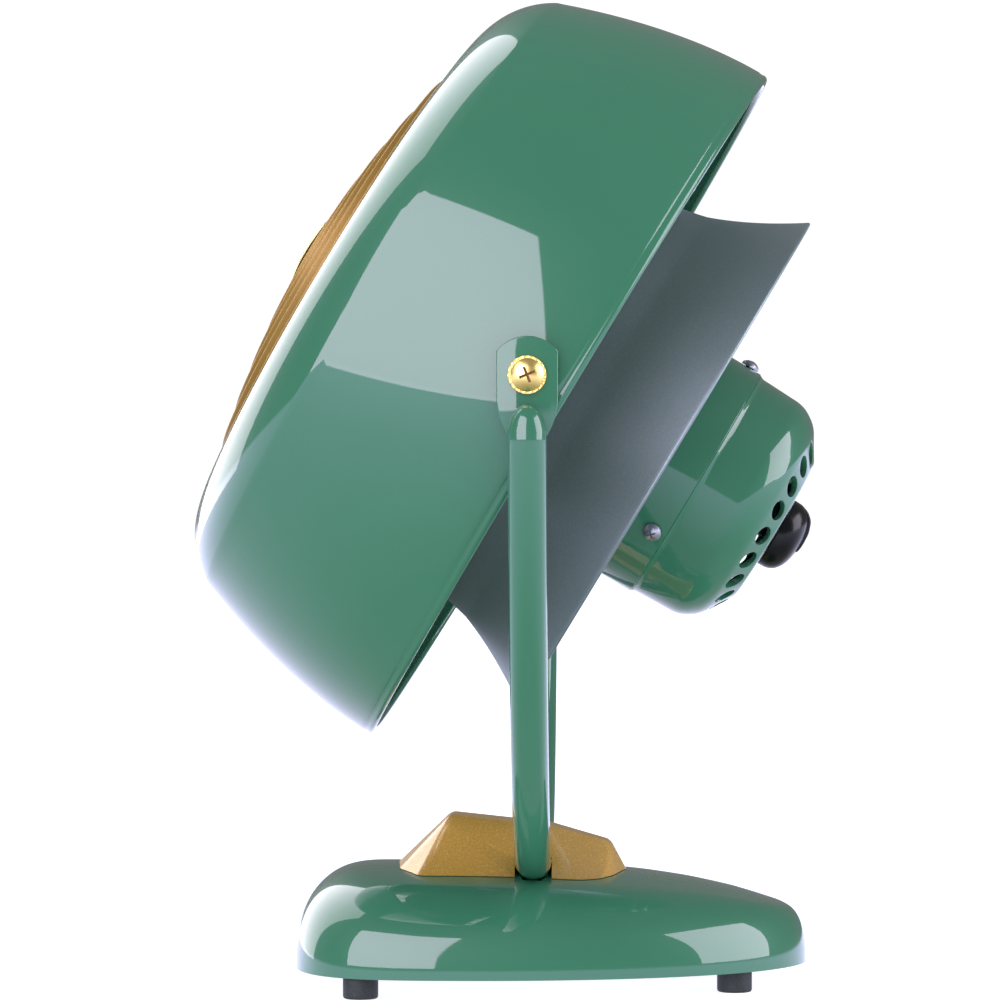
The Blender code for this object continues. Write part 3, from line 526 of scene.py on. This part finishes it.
def make_saddle():
    """Pressed cover over the clamp, with crisp rounded folds and a notch for the tube."""
    foot = ((0, -67.4, 40), (30, -64.5, 40), (50.5, -51, 40), (51, 25.2, 40), (36, 34, 40),
            (0, 42.2, 40))
    roof = ((10, -35.6, 70.5), (18, -36.9, 67.0), (18, 6, 62.7), (10, 6.4, 66.0),
            (8, 32.2, 58.7), (15, 29.6, 56.2))
    shape = bmesh.new()
    for x, y, z in foot + roof:
        for sign in (1, -1):
            shape.verts.new((sign * x * MM, PIVOT.y + y * MM, z * MM))
    bmesh.ops.remove_doubles(shape, verts=shape.verts, dist=0.00001)
    hull = bmesh.ops.convex_hull(shape, input=shape.verts)
    bmesh.ops.delete(shape, geom=hull["geom_interior"], context="VERTS")
    bmesh.ops.dissolve_limit(shape, angle_limit=radians(1), verts=shape.verts,
                             edges=shape.edges)
    shape.normal_update()
    floor = [f for f in shape.faces if f.normal.z < -0.9]
    bmesh.ops.delete(shape, geom=floor, context="FACES")
    cover = applied(mesh_of(shape, "cover"), [
        soft_edges(2.0, 5, 8),
        ("SOLIDIFY", {"thickness": 1.4 * MM, "offset": -1.0, "use_even_offset": True})])
    below = bmesh.new()
    rim = base_rings(below, 160, 34, BASE_BOTTOM, lowered=-0.25 * MM)
    below.faces.new(list(reversed(rim)))
    room = TUBE_RADIUS + 0.15
    spring = TUBE_LOW + 1.3
    notch = block((0.12, 2 * room * MM, 30 * MM), (0, PIVOT.y, (spring - 15) * MM))
    arch = rod_cutter(room, 60, 64)
    arch.transform(Matrix.Translation((0, PIVOT.y, spring * MM)) @ ACROSS)
    cover = applied(cover, [("BOOLEAN", mesh_of(below, "below")), ("BOOLEAN", notch),
                            ("BOOLEAN", arch), soft_edges(0.18, 2, 40)])
    place_piece("saddle_hood", cover, gold, "stand", ["saddle_cover"], sharp=40)


# ------------------------------------------------------------------ yoke

def yoke_height(x):
    """Height of the tube's centre at a distance from the middle, in metres."""
    def bow(at):
        return PIVOT.z - YOKE_DROP * MM * sqrt(max(0.0, 1 - (at / (YOKE_HALF_WIDTH * MM)) ** 2))

    at = abs(x)
    flat, blend, low = TUBE_FLAT * MM, TUBE_BLEND * MM, TUBE_LOW * MM
    if at >= blend:
        return bow(at)
    if at <= flat:
        return low
    return low + (bow(blend) - low) * ((at - flat) / (blend - flat)) ** 2


def paddle(side):
    """Flattened end: a round top cut by straight sides, narrowing down to the tube."""
    corner = sqrt(PADDLE_ROUND ** 2 - PADDLE_HALF ** 2)
    edge = atan2(PADDLE_HALF, corner)
    outline = [(PADDLE_ROUND * sin(edge * k / 16), PADDLE_ROUND * cos(edge * k / 16))
               for k in range(-16, 17)]
    taper = cubic((PADDLE_HALF, -9.0), (PADDLE_HALF, -14.5), (9.9, -19.5), (7.0, -24.5), 12)
    outline += taper + [(-y, z) for y, z in reversed(taper)]
    face = [(side * PADDLE_INNER * MM, PIVOT.y + y * MM, PIVOT.z + z * MM) for y, z in outline]
    return applied(extruded(face, (side * PADDLE_THICK * MM, 0, 0)), [soft_edges(0.55, 4, 50)])


def nose(side):
    """Closed end of the tube: a pointed dome that leaves a fine crease where it starts."""
    height, sunk = 10.6, 2.0
    full = height + sunk
    start = sqrt(1 - (sunk / full) ** 2)
    outline = [(0.0, -3.0), (TUBE_RADIUS, -3.0)]
    for i in range(22):
        h = height * sin(pi / 2 * i / 21)
        bulge = sqrt(max(0.0, 1 - ((h + sunk) / full) ** 2)) / start
        outline.append((TUBE_RADIUS * bulge, h))
    outline[-1] = (0.0, height)
    mesh = turned(mm(outline), 64, closed=False)
    mesh.transform(Matrix.Translation(
        (side * YOKE_HALF_WIDTH * cos(radians(6)) * MM, PIVOT.y, PIVOT.z - 22 * MM)))
    return mesh


def make_yoke():
    leg = []
    for i in range(48):
        x = YOKE_HALF_WIDTH * MM * cos(radians(6 + 66 * i / 47))
        leg.append((x, yoke_height(x)))
    last = leg[-1][0]
    for i in range(1, 13):
        x = last + (TUBE_FLAT * MM - last) * i / 12
        leg.append((x, yoke_height(x)))
    path = leg + [(-x, z) for x, z in reversed(leg)]
    tube = swept([(x, PIVOT.y, z) for x, z in path], TUBE_RADIUS * MM, 64)
    parts = [tube] + [make(side) for side in (1, -1) for make in (paddle, nose)]
    place_piece("yoke_tube", merged(parts), enamel, "stand", ["yoke"], sharp=30)


# ------------------------------------------------------------------ head shell

def shroud_radius(station):
    """Outer radius of the barrel at a station."""
    part = max(0.0, (station - BELLY_FROM) / BELLY_LENGTH)
    return SHROUD_RADIUS - BELLY_DEPTH * part ** 1.78


def make_shroud():
    """Barrel shell with a rolled lip in front and a beaded hem behind."""
    shoulder = BELLY_FROM + BELLY_LENGTH
    lip = cubic((118, 93.5), (130, 91.1), (138.8, 82.5), (143.2, shoulder), 28)
    roll = arc((118.0, 92.0), SHELL, 250, 90, 9)
    belly = []
    for i in range(1, 41):
        station = shoulder - 87.4 * i / 40
        belly.append((shroud_radius(station), station))
    groove = [(161.52, -13.3), (161.40, -13.6), (161.37, -13.9), (161.4, -14.2)]
    bead = arc((159.5, -15.6), 2.0, 22, -180, 18)
    outer = roll + lip[1:] + belly + groove
    inner = list(reversed(offset(lip[1:] + belly, SHELL)))
    place_piece("shroud", turned(mm(outer + bead + inner), 256), enamel, "head",
                ["outer_shroud"], HEAD, sharp=40)


def grille_station(radius):
    """Front edge of the domed grille at a radius from its axis."""
    return GRILLE_CROWN - GRILLE_FALL * (radius / GRILLE_RADIUS) ** 1.75


def make_grille():
    """Domed rings on six ribs with a hub, and the plain badge in the middle."""
    parts = []
    blade, depth, hub_radius = 1.6, 8.0, 17.0
    for radius in GRILLE_RINGS:
        edge = grille_station(radius)
        ring = rounded([(radius, edge), (radius + blade, edge), (radius + blade, edge - depth),
                        (radius, edge - depth)], 0.7, 4, closed=True)
        parts.append(turned(mm(ring), 192))
    flat = hub_radius - 0.8
    back = GRILLE_CROWN - depth
    hub = [(flat * i / 8, grille_station(flat * i / 8)) for i in range(9)]
    hub += rounded([(flat, grille_station(flat)), (hub_radius, grille_station(hub_radius) - 0.6),
                    (hub_radius, back), (0, back)], 0.6, 4)[1:]
    parts.append(turned(mm(hub), 96, closed=False))
    for i in range(6):
        reaches = [14 + 101.6 * k / 20 for k in range(21)]
        side = [(r * MM, -1.1 * MM, (grille_station(r) - 1.6) * MM) for r in reaches]
        side += [(r * MM, -1.1 * MM, (grille_station(r) - 7.0) * MM) for r in reversed(reaches)]
        rib = applied(extruded(side, (0, 2.2 * MM, 0)), [soft_edges(0.5, 3, 50)])
        rib.transform(about_z(60 * i + 30))
        parts.append(rib)
    place_piece("grille", merged(parts), gilt, "head", ["front_grille"], HEAD)
    dome = [(0, 0)]
    for i in range(1, 12):
        r = 11.2 * i / 11
        dome.append((r, -0.75 * (r / 11.2) ** 2))
    dome += [(11.5, -1.15), (12.0, -1.15), (12.3, -0.95), (13.4, -1.05), (14.2, -1.3),
             (14.5, -1.65), (0, -1.68)]
    badge = [(r, BADGE_TOP + drop) for r, drop in dome]
    place_piece("badge", turned(mm(badge), 96, closed=False), brass, "head",
                ["grille_badge"], HEAD)


def make_duct():
    """Flared sheet duct whose rear edge is rounded over."""
    throat = cubic((94, DUCT_FRONT), (92.5, 13), (94, -8), (98.6, -25.6), 22)
    flare = cubic((98.6, -25.6), (104, -40), (111.4, -52.8), (119.2, -64.3), 30)
    outer = throat + flare[1:-1]
    inner = list(reversed(offset(outer, SHELL)))
    start, end = Vector(outer[-1]), Vector(inner[0])
    middle = (start + end) / 2
    out = (middle - (Vector(outer[-3]) + Vector(inner[2])) / 2).normalized()
    edge = []
    for i in range(1, 10):
        turn = pi * i / 10
        edge.append(tuple(middle + (start - middle) * cos(turn)
                          + out * (start - middle).length * sin(turn)))
    place_piece("duct", turned(mm(outer + edge + inner), 256), satin, "head",
                ["inner_duct"], HEAD)


def rivet(radius, side):
    """Domed rivet head on a bracket's flat part: side is +1 in front and -1 behind."""
    mesh = turned(mm([(0, 1.5), (1.6, 1.25), (2.8, 0.5), (3.0, 0.0), (0, 0)]), 32,
                  closed=False)
    mesh.transform(Matrix.Translation((radius * MM, 0, (STRAP + side * 0.8) * MM))
                   @ Matrix.Diagonal((1, 1, side, 1)))
    if side < 0:
        mesh.flip_normals()
    return mesh


def make_brackets():
    """Z-shaped straps that hang the duct inside the shroud, each with two rivets."""
    strip = rounded([(97.4, STRAP + 14), (97.4, STRAP), (157.0, STRAP),
                     (157.0, STRAP + 14)], 2.2, 5)
    for number, angle in enumerate(SPOKES):
        shape = bmesh.new()
        rows = [[shape.verts.new((r * MM, y * MM, z * MM)) for r, z in strip]
                for y in (-6, 6)]
        for i in range(len(strip) - 1):
            shape.faces.new((rows[0][i], rows[0][i + 1], rows[1][i + 1], rows[1][i]))
        strap = applied(mesh_of(shape, "strip"), [
            ("SOLIDIFY", {"thickness": 1.6 * MM, "offset": 0.0, "use_even_offset": True}),
            soft_edges(0.35, 2, 50)])
        rivets = [rivet(radius, side) for radius in (106.0, 148.0) for side in (1, -1)]
        place_piece("bracket_%d" % (number + 1), merged([strap] + rivets), steel, "head",
                    ["duct_bracket_%d" % (number + 1)], HEAD @ about_z(angle))


# ------------------------------------------------------------------ motor

def make_motor_front():
    outer = rounded([(5.2, -22), (13, -22), (15, -28), (43, -28), (MOTOR_RADIUS, -33.5),
                     (MOTOR_RADIUS, MOTOR_SEAM + 0.05), (51.6, MOTOR_SEAM + 0.05)],
                    [0, 0.8, 1.2, 3.0, 6.0, 0.45, 0], 8)
    inner = [(51.6, -36), (48, -29.8), (5.2, -29.8)]
    place_piece("motor_front", turned(mm(outer + inner), 192), enamel, "head",
                ["motor_front_cover"], HEAD)


def make_motor_rear():
    """Rear cover with a ring of vents on its cone, and the hole for the cord."""
    rear = rounded([(50.3, MOTOR_SEAM), (53.1, MOTOR_SEAM), (52.2, -80.9), (51.5, -101.8),
                    (46.5, -109.4), (32.5, MOTOR_REAR), (7.0, MOTOR_REAR),
                    (6.2, MOTOR_REAR + 0.6), (6.2, MOTOR_REAR + 1.8)],
                   [0, 0.4, 0.8, 4.5, 3.5, 1.6, 0.3, 0.2, 0], 8)
    hollow = [(31.2, -115.4), (42.2, -108.2), (46.4, -104.9), (49.4, -100.0)]
    slope = Matrix.Translation(VENT_PLACE) @ Matrix.Rotation(radians(VENT_SLOPE), 4, "Y")
    holes = []
    for i in range(VENTS):
        hole = rod_cutter(VENT_RADIUS, 6, 40)
        hole.transform(about_z(VENT_PHASE + 360 * i / VENTS) @ slope)
        holes.append(hole)
    cord_hole = rod_cutter(4.6, 8, 36)
    cord_hole.transform(side_place(*INLET, Matrix()))
    cover = applied(turned(mm(rear + hollow), 240), [
        ("BOOLEAN", merged(holes + [cord_hole])), soft_edges(0.55, 4, 34)])
    place_piece("motor_rear", cover, enamel, "head", ["motor_rear_cover"],
                HEAD, sharp=40)
    grommet = rounded([(2.2, 2.6), (5.6, 2.6), (6.0, 1.2), (4.2, 1.2), (4.2, -3.4),
                       (2.2, -3.4)], 0.5, 4, closed=True)
    place_piece("inlet_grommet", turned(mm(grommet), 48), rubber, "head",
                ["cord_inlet"], side_place(*INLET))


def screw_outline(radius, height, rim, notched):
    """Outline from the crown down over the flange to the seat and the shank's start."""
    flat = 0.30 * height
    crown = [(rim * radius * i / 12, height * (1 - 0.62 * (i / 12) ** 2.2)) for i in range(13)]
    if notched:
        edge = [(rim * radius, flat)] + [((0.87 + 0.02 * k) * radius, flat) for k in range(6)]
        edge += [(0.99 * radius, flat - 0.08), (radius, flat - 0.3), (radius, 0.0)]
    else:
        edge = rounded([crown[-1], (rim * radius + 0.02, flat), (radius, flat), (radius, 0.0)],
                       [0, 0.1, 0.3, 0], 4)[1:]
    return crown + edge + [(0.5 * radius, 0.0), (0.5 * radius, -1.0), (0, -1.0)]


def cross_screw(radius, height, rim, reach, width, spin, notches=0):
    """Domed screw head with a cross recess; a notched flange when asked for."""
    def notch(turn, r, h):
        flange = 0.86 * radius * MM < r < 0.985 * radius * MM and h > 0.1 * height * MM
        if notches and flange and (turn * notches / tau) % 1.0 < 0.42:
            return r, h - 0.55 * MM
        return r, h

    outline = screw_outline(radius, height, rim, notches > 0)
    head = turned(mm(outline), 216 if notches else 72, closed=False, relief=notch)
    for angle in (spin, spin + 90):
        bar = block((2 * reach * MM, width * MM, 1.9 * MM), (0, 0, height * MM), about_z(angle))
        head = applied(head, [("BOOLEAN", bar)])
    return applied(head, [soft_edges(0.08, 2, 45)])


def paint_recess_shade(mesh, depth, radius):
    """Paint shade on the floors of the cross recess by giving them the second, darker material.
    """
    for face in mesh.polygons:
        centre = face.center
        low = centre.z < depth and Vector((centre.x, centre.y)).length < radius
        face.material_index = 1 if low and face.normal.z > -0.5 else 0


def make_screws():
    for name, side in (("right", 1), ("left", -1)):
        head = cross_screw(7.45, 4.2, 0.86, 3.2, 1.05, 53.5, notches=18)
        turn = Matrix.Rotation(side * pi / 2, 4, "Y")
        seat = PADDLE_INNER + PADDLE_THICK + 0.3
        place = HEAD @ turn @ Matrix.Translation((0, 0, seat * MM))
        # The second material is painted shade on the floors of the cross recess.
        place_piece("tilt_screw_" + name, head, [brass, recess_shade_brass], "head",
                    ["pivot_screw_" + name], place, 35, (3.4 * MM, 3.6 * MM))
        washer = rounded([(4.4, 161.6), (9.0, 161.6), (9.0, 162.9), (4.4, 162.9)], 0.3, 3,
                         closed=True)
        place_piece("tilt_washer_" + name, turned(mm(washer), 64), plastic, "head",
                    ["pivot_washer_" + name], HEAD @ turn)
    for number, angle in enumerate(SPOKES):
        head = cross_screw(3.9, 2.9, 0.97, 1.9, 0.6, 35 + 10 * number)
        # The second material is painted shade on the floors of the cross recess.
        place_piece("case_screw_%d" % (number + 1), head, [steel, core_steel], "head",
                    ["housing_screw_%d" % (number + 1)],
                    side_place(angle, (MOTOR_RADIUS + 0.3) * MM, CASE_SCREW * MM), 35,
                    (2.1 * MM, 2.1 * MM))


def make_knob():
    """Domed knob with a pointer ridge over its upper half."""
    profile = [(0, -124.0), (3.1, -124.0), (3.1, -122), (11, -122), (11, -118.9)]
    profile += rounded([(11, -118.9), (15.5, -118.9), (15.4, -121.8)], [0, 0.5, 0], 4)[1:]
    profile += cubic((15.4, -121.8), (14.7, -127.4), (9.8, -130.4), (0, -130.5), 26)[1:]
    body = turned(mm(profile), 128, closed=False)
    ridge = [(-4.0, -128.2), (-3.2, -130.8), (0.5, -131.35), (6.5, -131.0), (11.4, -129.2),
             (14.2, -126.0), (15.3, -121.8), (12, -121.2), (-3.0, -124)]
    side = [(-4.4 * MM, u * MM, z * MM) for u, z in rounded(ridge, 1.6, 5, closed=True)]
    bar = applied(extruded(side, (8.8 * MM, 0, 0)), [soft_edges(0.8, 4, 40)])
    place_piece("knob_grip", merged([body, bar]), plastic, "knob",
                ["speed_knob"], HEAD, sharp=35)


# ------------------------------------------------------------------ air path

def make_guard():
    parts = []
    for radius in (56, 70, 84, 98):
        parts.append(turned(mm(arc((radius, GUARD), 1.3, 0, 330, 12)), 160))
    for i in range(6):
        line = [Vector((r * MM, 0, GUARD * MM)) for r in (55.7, 70, 84, 98, 106, 110.6)]
        rod = swept(line, 1.05 * MM, 14)
        rod.transform(about_z(60 * i + 27))
        parts.append(rod)
    place_piece("wire_guard", merged(parts), satin, "head", ["rear_guard"], HEAD)


def make_spider():
    """Ring round the motor with three waisted arms."""
    ring = rounded([(53.7, SPIDER + 4.5), (56.6, SPIDER + 4.5), (56.6, SPIDER - 5),
                    (53.7, SPIDER - 5)], 0.5, 3, closed=True)
    parts = [turned(mm(ring), 160)]
    waist = ((55.6, 4.6), (62, 3.6), (78, 3.0), (94, 3.4), (100.3, 4.2))
    outline = [(r, SPIDER + half) for r, half in waist]
    outline += [(r, SPIDER - half) for r, half in reversed(waist)]
    for angle in SPOKES:
        side = [(r * MM, -1.5 * MM, z * MM) for r, z in outline]
        arm = applied(extruded(side, (0, 3 * MM, 0)), [soft_edges(0.6, 3, 50)])
        arm.transform(about_z(angle + 60))
        parts.append(arm)
    place_piece("spider", merged(parts), satin, "head", ["motor_spider"], HEAD)


def blade(angle):
    """One deep-pitch blade with rounded outer corners."""
    rows, columns = 22, 18
    shape = bmesh.new()
    grid = []
    for i in range(rows):
        out = i / (rows - 1)
        line = []
        for j in range(columns):
            along = j / (columns - 1) - 0.5
            reach = 17 + 70 * out * (1 - 0.10 * abs(2 * along) ** 4 * out ** 3)
            sweep = radians(34 + 26 * out) * (1 - 0.10 * out ** 8)
            turn = radians(angle) + sweep * along
            rise = 26 - 8 * out
            line.append(shape.verts.new((
                reach * MM * cos(turn), reach * MM * sin(turn),
                (14 + rise * along - 3 * (1 - 4 * along * along)) * MM)))
        grid.append(line)
    for i in range(rows - 1):
        for j in range(columns - 1):
            shape.faces.new((grid[i][j], grid[i + 1][j], grid[i + 1][j + 1], grid[i][j + 1]))
    return applied(mesh_of(shape, "blade"), [
        ("SOLIDIFY", {"thickness": 1.7 * MM, "offset": 0.0}), soft_edges(0.5, 3, 50)])


def make_propeller():
    hub = rounded([(4.3, 26), (17.5, 26), (21, 22), (22, 2), (4.3, 2)],
                  [0, 2.0, 3.0, 0.8, 0], 6)
    parts = [turned(mm(hub), 96)] + [blade(angle) for angle in BLADES]
    place_piece("fan_blades", merged(parts), plastic, "rotor",
                ["propeller"], HEAD)


def dress_nodes():
    """Finishes for the CAD nodes that stay in view."""
    corners = ("front_right", "front_left", "rear_right", "rear_left")
    finishes = (
        (steel, ["base_plate", "yoke_clamp", "clamp_screw_front", "clamp_screw_rear",
                 "pivot_nut_right", "pivot_nut_left", "grille_clip_1", "grille_clip_2",
                 "grille_clip_3", "switch_nut", "propeller_nut", "bearing_bridge"]
                + ["foot_screw_" + corner for corner in corners]),
        (core_steel, ["motor_shaft", "switch_shaft", "stator_core", "rotor_core"]),
        (iron, ["ballast_weight"]),
        (copper, ["winding_front", "winding_rear"]),
        (brass, ["bearing_front", "bearing_rear"]),
        (plastic, ["run_capacitor", "switch_body"]),
    )
    for finish, names in finishes:
        for name in names:
            mesh = NODES[name].data
            mesh.materials.clear()
            mesh.materials.append(finish)


# ------------------------------------------------------------------ stage

def panel(name, corners, radiance, tint):
    """Area light fitted to three corners: low right, low left and high right."""
    right, left, high = (Vector(c) for c in corners)
    across = left - right
    up = high - right
    centre = right + across / 2 + up / 2
    x = across.normalized()
    y = (up - x * up.dot(x)).normalized()
    z = x.cross(y)
    if z.dot(centre - PIVOT) < 0:
        x, z = -x, -z
    size = (across.length, (up - x * up.dot(x)).length)
    data = bpy.data.lights.new(name, "AREA")
    data.shape = "RECTANGLE"
    data.size, data.size_y = size
    data.color = tint
    data.energy = radiance * pi * size[0] * size[1]
    light = bpy.data.objects.new(name, data)
    bpy.context.scene.collection.objects.link(light)
    light.matrix_world = Matrix.Translation(centre) @ Matrix((x, y, z)).transposed().to_4x4()
    light.visible_camera = False
    light.visible_diffuse = False


def direction(azimuth, elevation):
    """A far point from the pivot: azimuth 0 is towards +X, negative towards the front."""
    a, e = radians(azimuth), radians(elevation)
    return PIVOT + LIGHT_DISTANCE * Vector((cos(a) * cos(e), sin(a) * cos(e), sin(e)))


def make_world():
    """Even white light; reflections see a pale floor that darkens underneath, and a dim room."""
    world = bpy.data.worlds.new("studio")
    bpy.context.scene.world = world
    world.use_nodes = True
    tree = world.node_tree
    back = tree.nodes["Background"]
    path = tree.nodes.new("ShaderNodeLightPath")

    def span(value, low, high, to_low, to_high):
        """Maps a range onto another; to_low may be a socket."""
        node = tree.nodes.new("ShaderNodeMapRange")
        for socket, number in (("From Min", low), ("From Max", high), ("To Max", to_high)):
            node.inputs[socket].default_value = number
        if isinstance(to_low, float):
            node.inputs["To Min"].default_value = to_low
        else:
            tree.links.new(to_low, node.inputs["To Min"])
        tree.links.new(value, node.inputs["Value"])
        return node.outputs["Result"]

    parts = tree.nodes.new("ShaderNodeSeparateXYZ")
    where = tree.nodes.new("ShaderNodeTexCoord").outputs["Generated"]
    tree.links.new(where, parts.inputs["Vector"])
    ramp = tree.nodes.new("ShaderNodeValToRGB")
    stops = ramp.color_ramp.elements
    stops[0].position = 0.125
    stops[0].color = (0.18, 0.18, 0.19, 1)
    stops[1].position = 0.485
    stops[1].color = (0.66, 0.66, 0.92, 1)
    stops.new(0.500).color = (0.08, 0.08, 0.08, 1)
    tree.links.new(span(parts.outputs["Z"], -1.0, 1.0, 0.0, 1.0), ramp.inputs["Fac"])
    tint = tree.nodes.new("ShaderNodeMixRGB")
    tint.inputs["Color1"].default_value = (1, 1, 1, 1)
    tree.links.new(path.outputs["Is Glossy Ray"], tint.inputs["Fac"])
    tree.links.new(ramp.outputs["Color"], tint.inputs["Color2"])
    tree.links.new(tint.outputs["Color"], back.inputs["Color"])
    strength = span(path.outputs["Is Glossy Ray"], 0.0, 1.0, 0.95, 2.5)
    strength = span(path.outputs["Is Camera Ray"], 0.0, 1.0, strength, 1.05)
    tree.links.new(strength, back.inputs["Strength"])


def make_stage():
    """White floor, three soft lights and the camera."""
    shape = bmesh.new()
    bmesh.ops.create_grid(shape, x_segments=8, y_segments=8, size=14.0)
    floor = bpy.data.objects.new("floor", mesh_of(shape, "floor"))
    bpy.context.scene.collection.objects.link(floor)
    paper = Paint("floor", (0.80, 0.80, 0.80, 1.0), 0.9, broad=(2.0, 0.005),
                  fine=(300.0, 0.005), bump=(200.0, 0.0, 0.0001), specular=0.0)
    paper.shader.inputs["Emission Color"].default_value = (1, 1, 1, 1)
    paper.shader.inputs["Emission Strength"].default_value = FLOOR_GLOW
    floor.data.materials.append(paper.made)
    floor.visible_diffuse = False
    floor.visible_glossy = False

    make_world()
    key = tuple(PIVOT + LIGHT_DISTANCE * Vector(aim) for aim in (
        (1.0, -0.040, -0.0175), (0.4699, -0.7520, -0.0175), (0.8744, -0.085, 0.9056)))
    panel("key_softbox", key, 7.5, (0.92, 0.805, 1.0))
    panel("front_strip", (direction(-163, -4), direction(-122, -4), direction(-163, 66)),
          3.3, (0.95, 0.9, 1.0))
    panel("rear_softbox", (direction(56, -2), direction(96, -2), direction(56, 40)),
          6.5, (0.92, 0.85, 1.0))

    data = bpy.data.cameras.new("camera")
    data.sensor_width = 36.0
    data.lens = LENS
    camera = bpy.data.objects.new("camera", data)
    bpy.context.scene.collection.objects.link(camera)
    look = CAMERA_AIM - CAMERA_SPOT
    camera.matrix_world = Matrix.Translation(CAMERA_SPOT) @ look.to_track_quat(
        "-Z", "Y").to_matrix().to_4x4()
    bpy.context.scene.camera = camera
    bpy.context.scene.view_settings.view_transform = "Standard"


make_base()
make_feet()
make_saddle()
make_yoke()
make_shroud()
make_grille()
make_duct()
make_brackets()
make_motor_front()
make_motor_rear()
make_screws()
make_knob()
make_guard()
make_spider()
make_propeller()
dress_nodes()
make_stage()
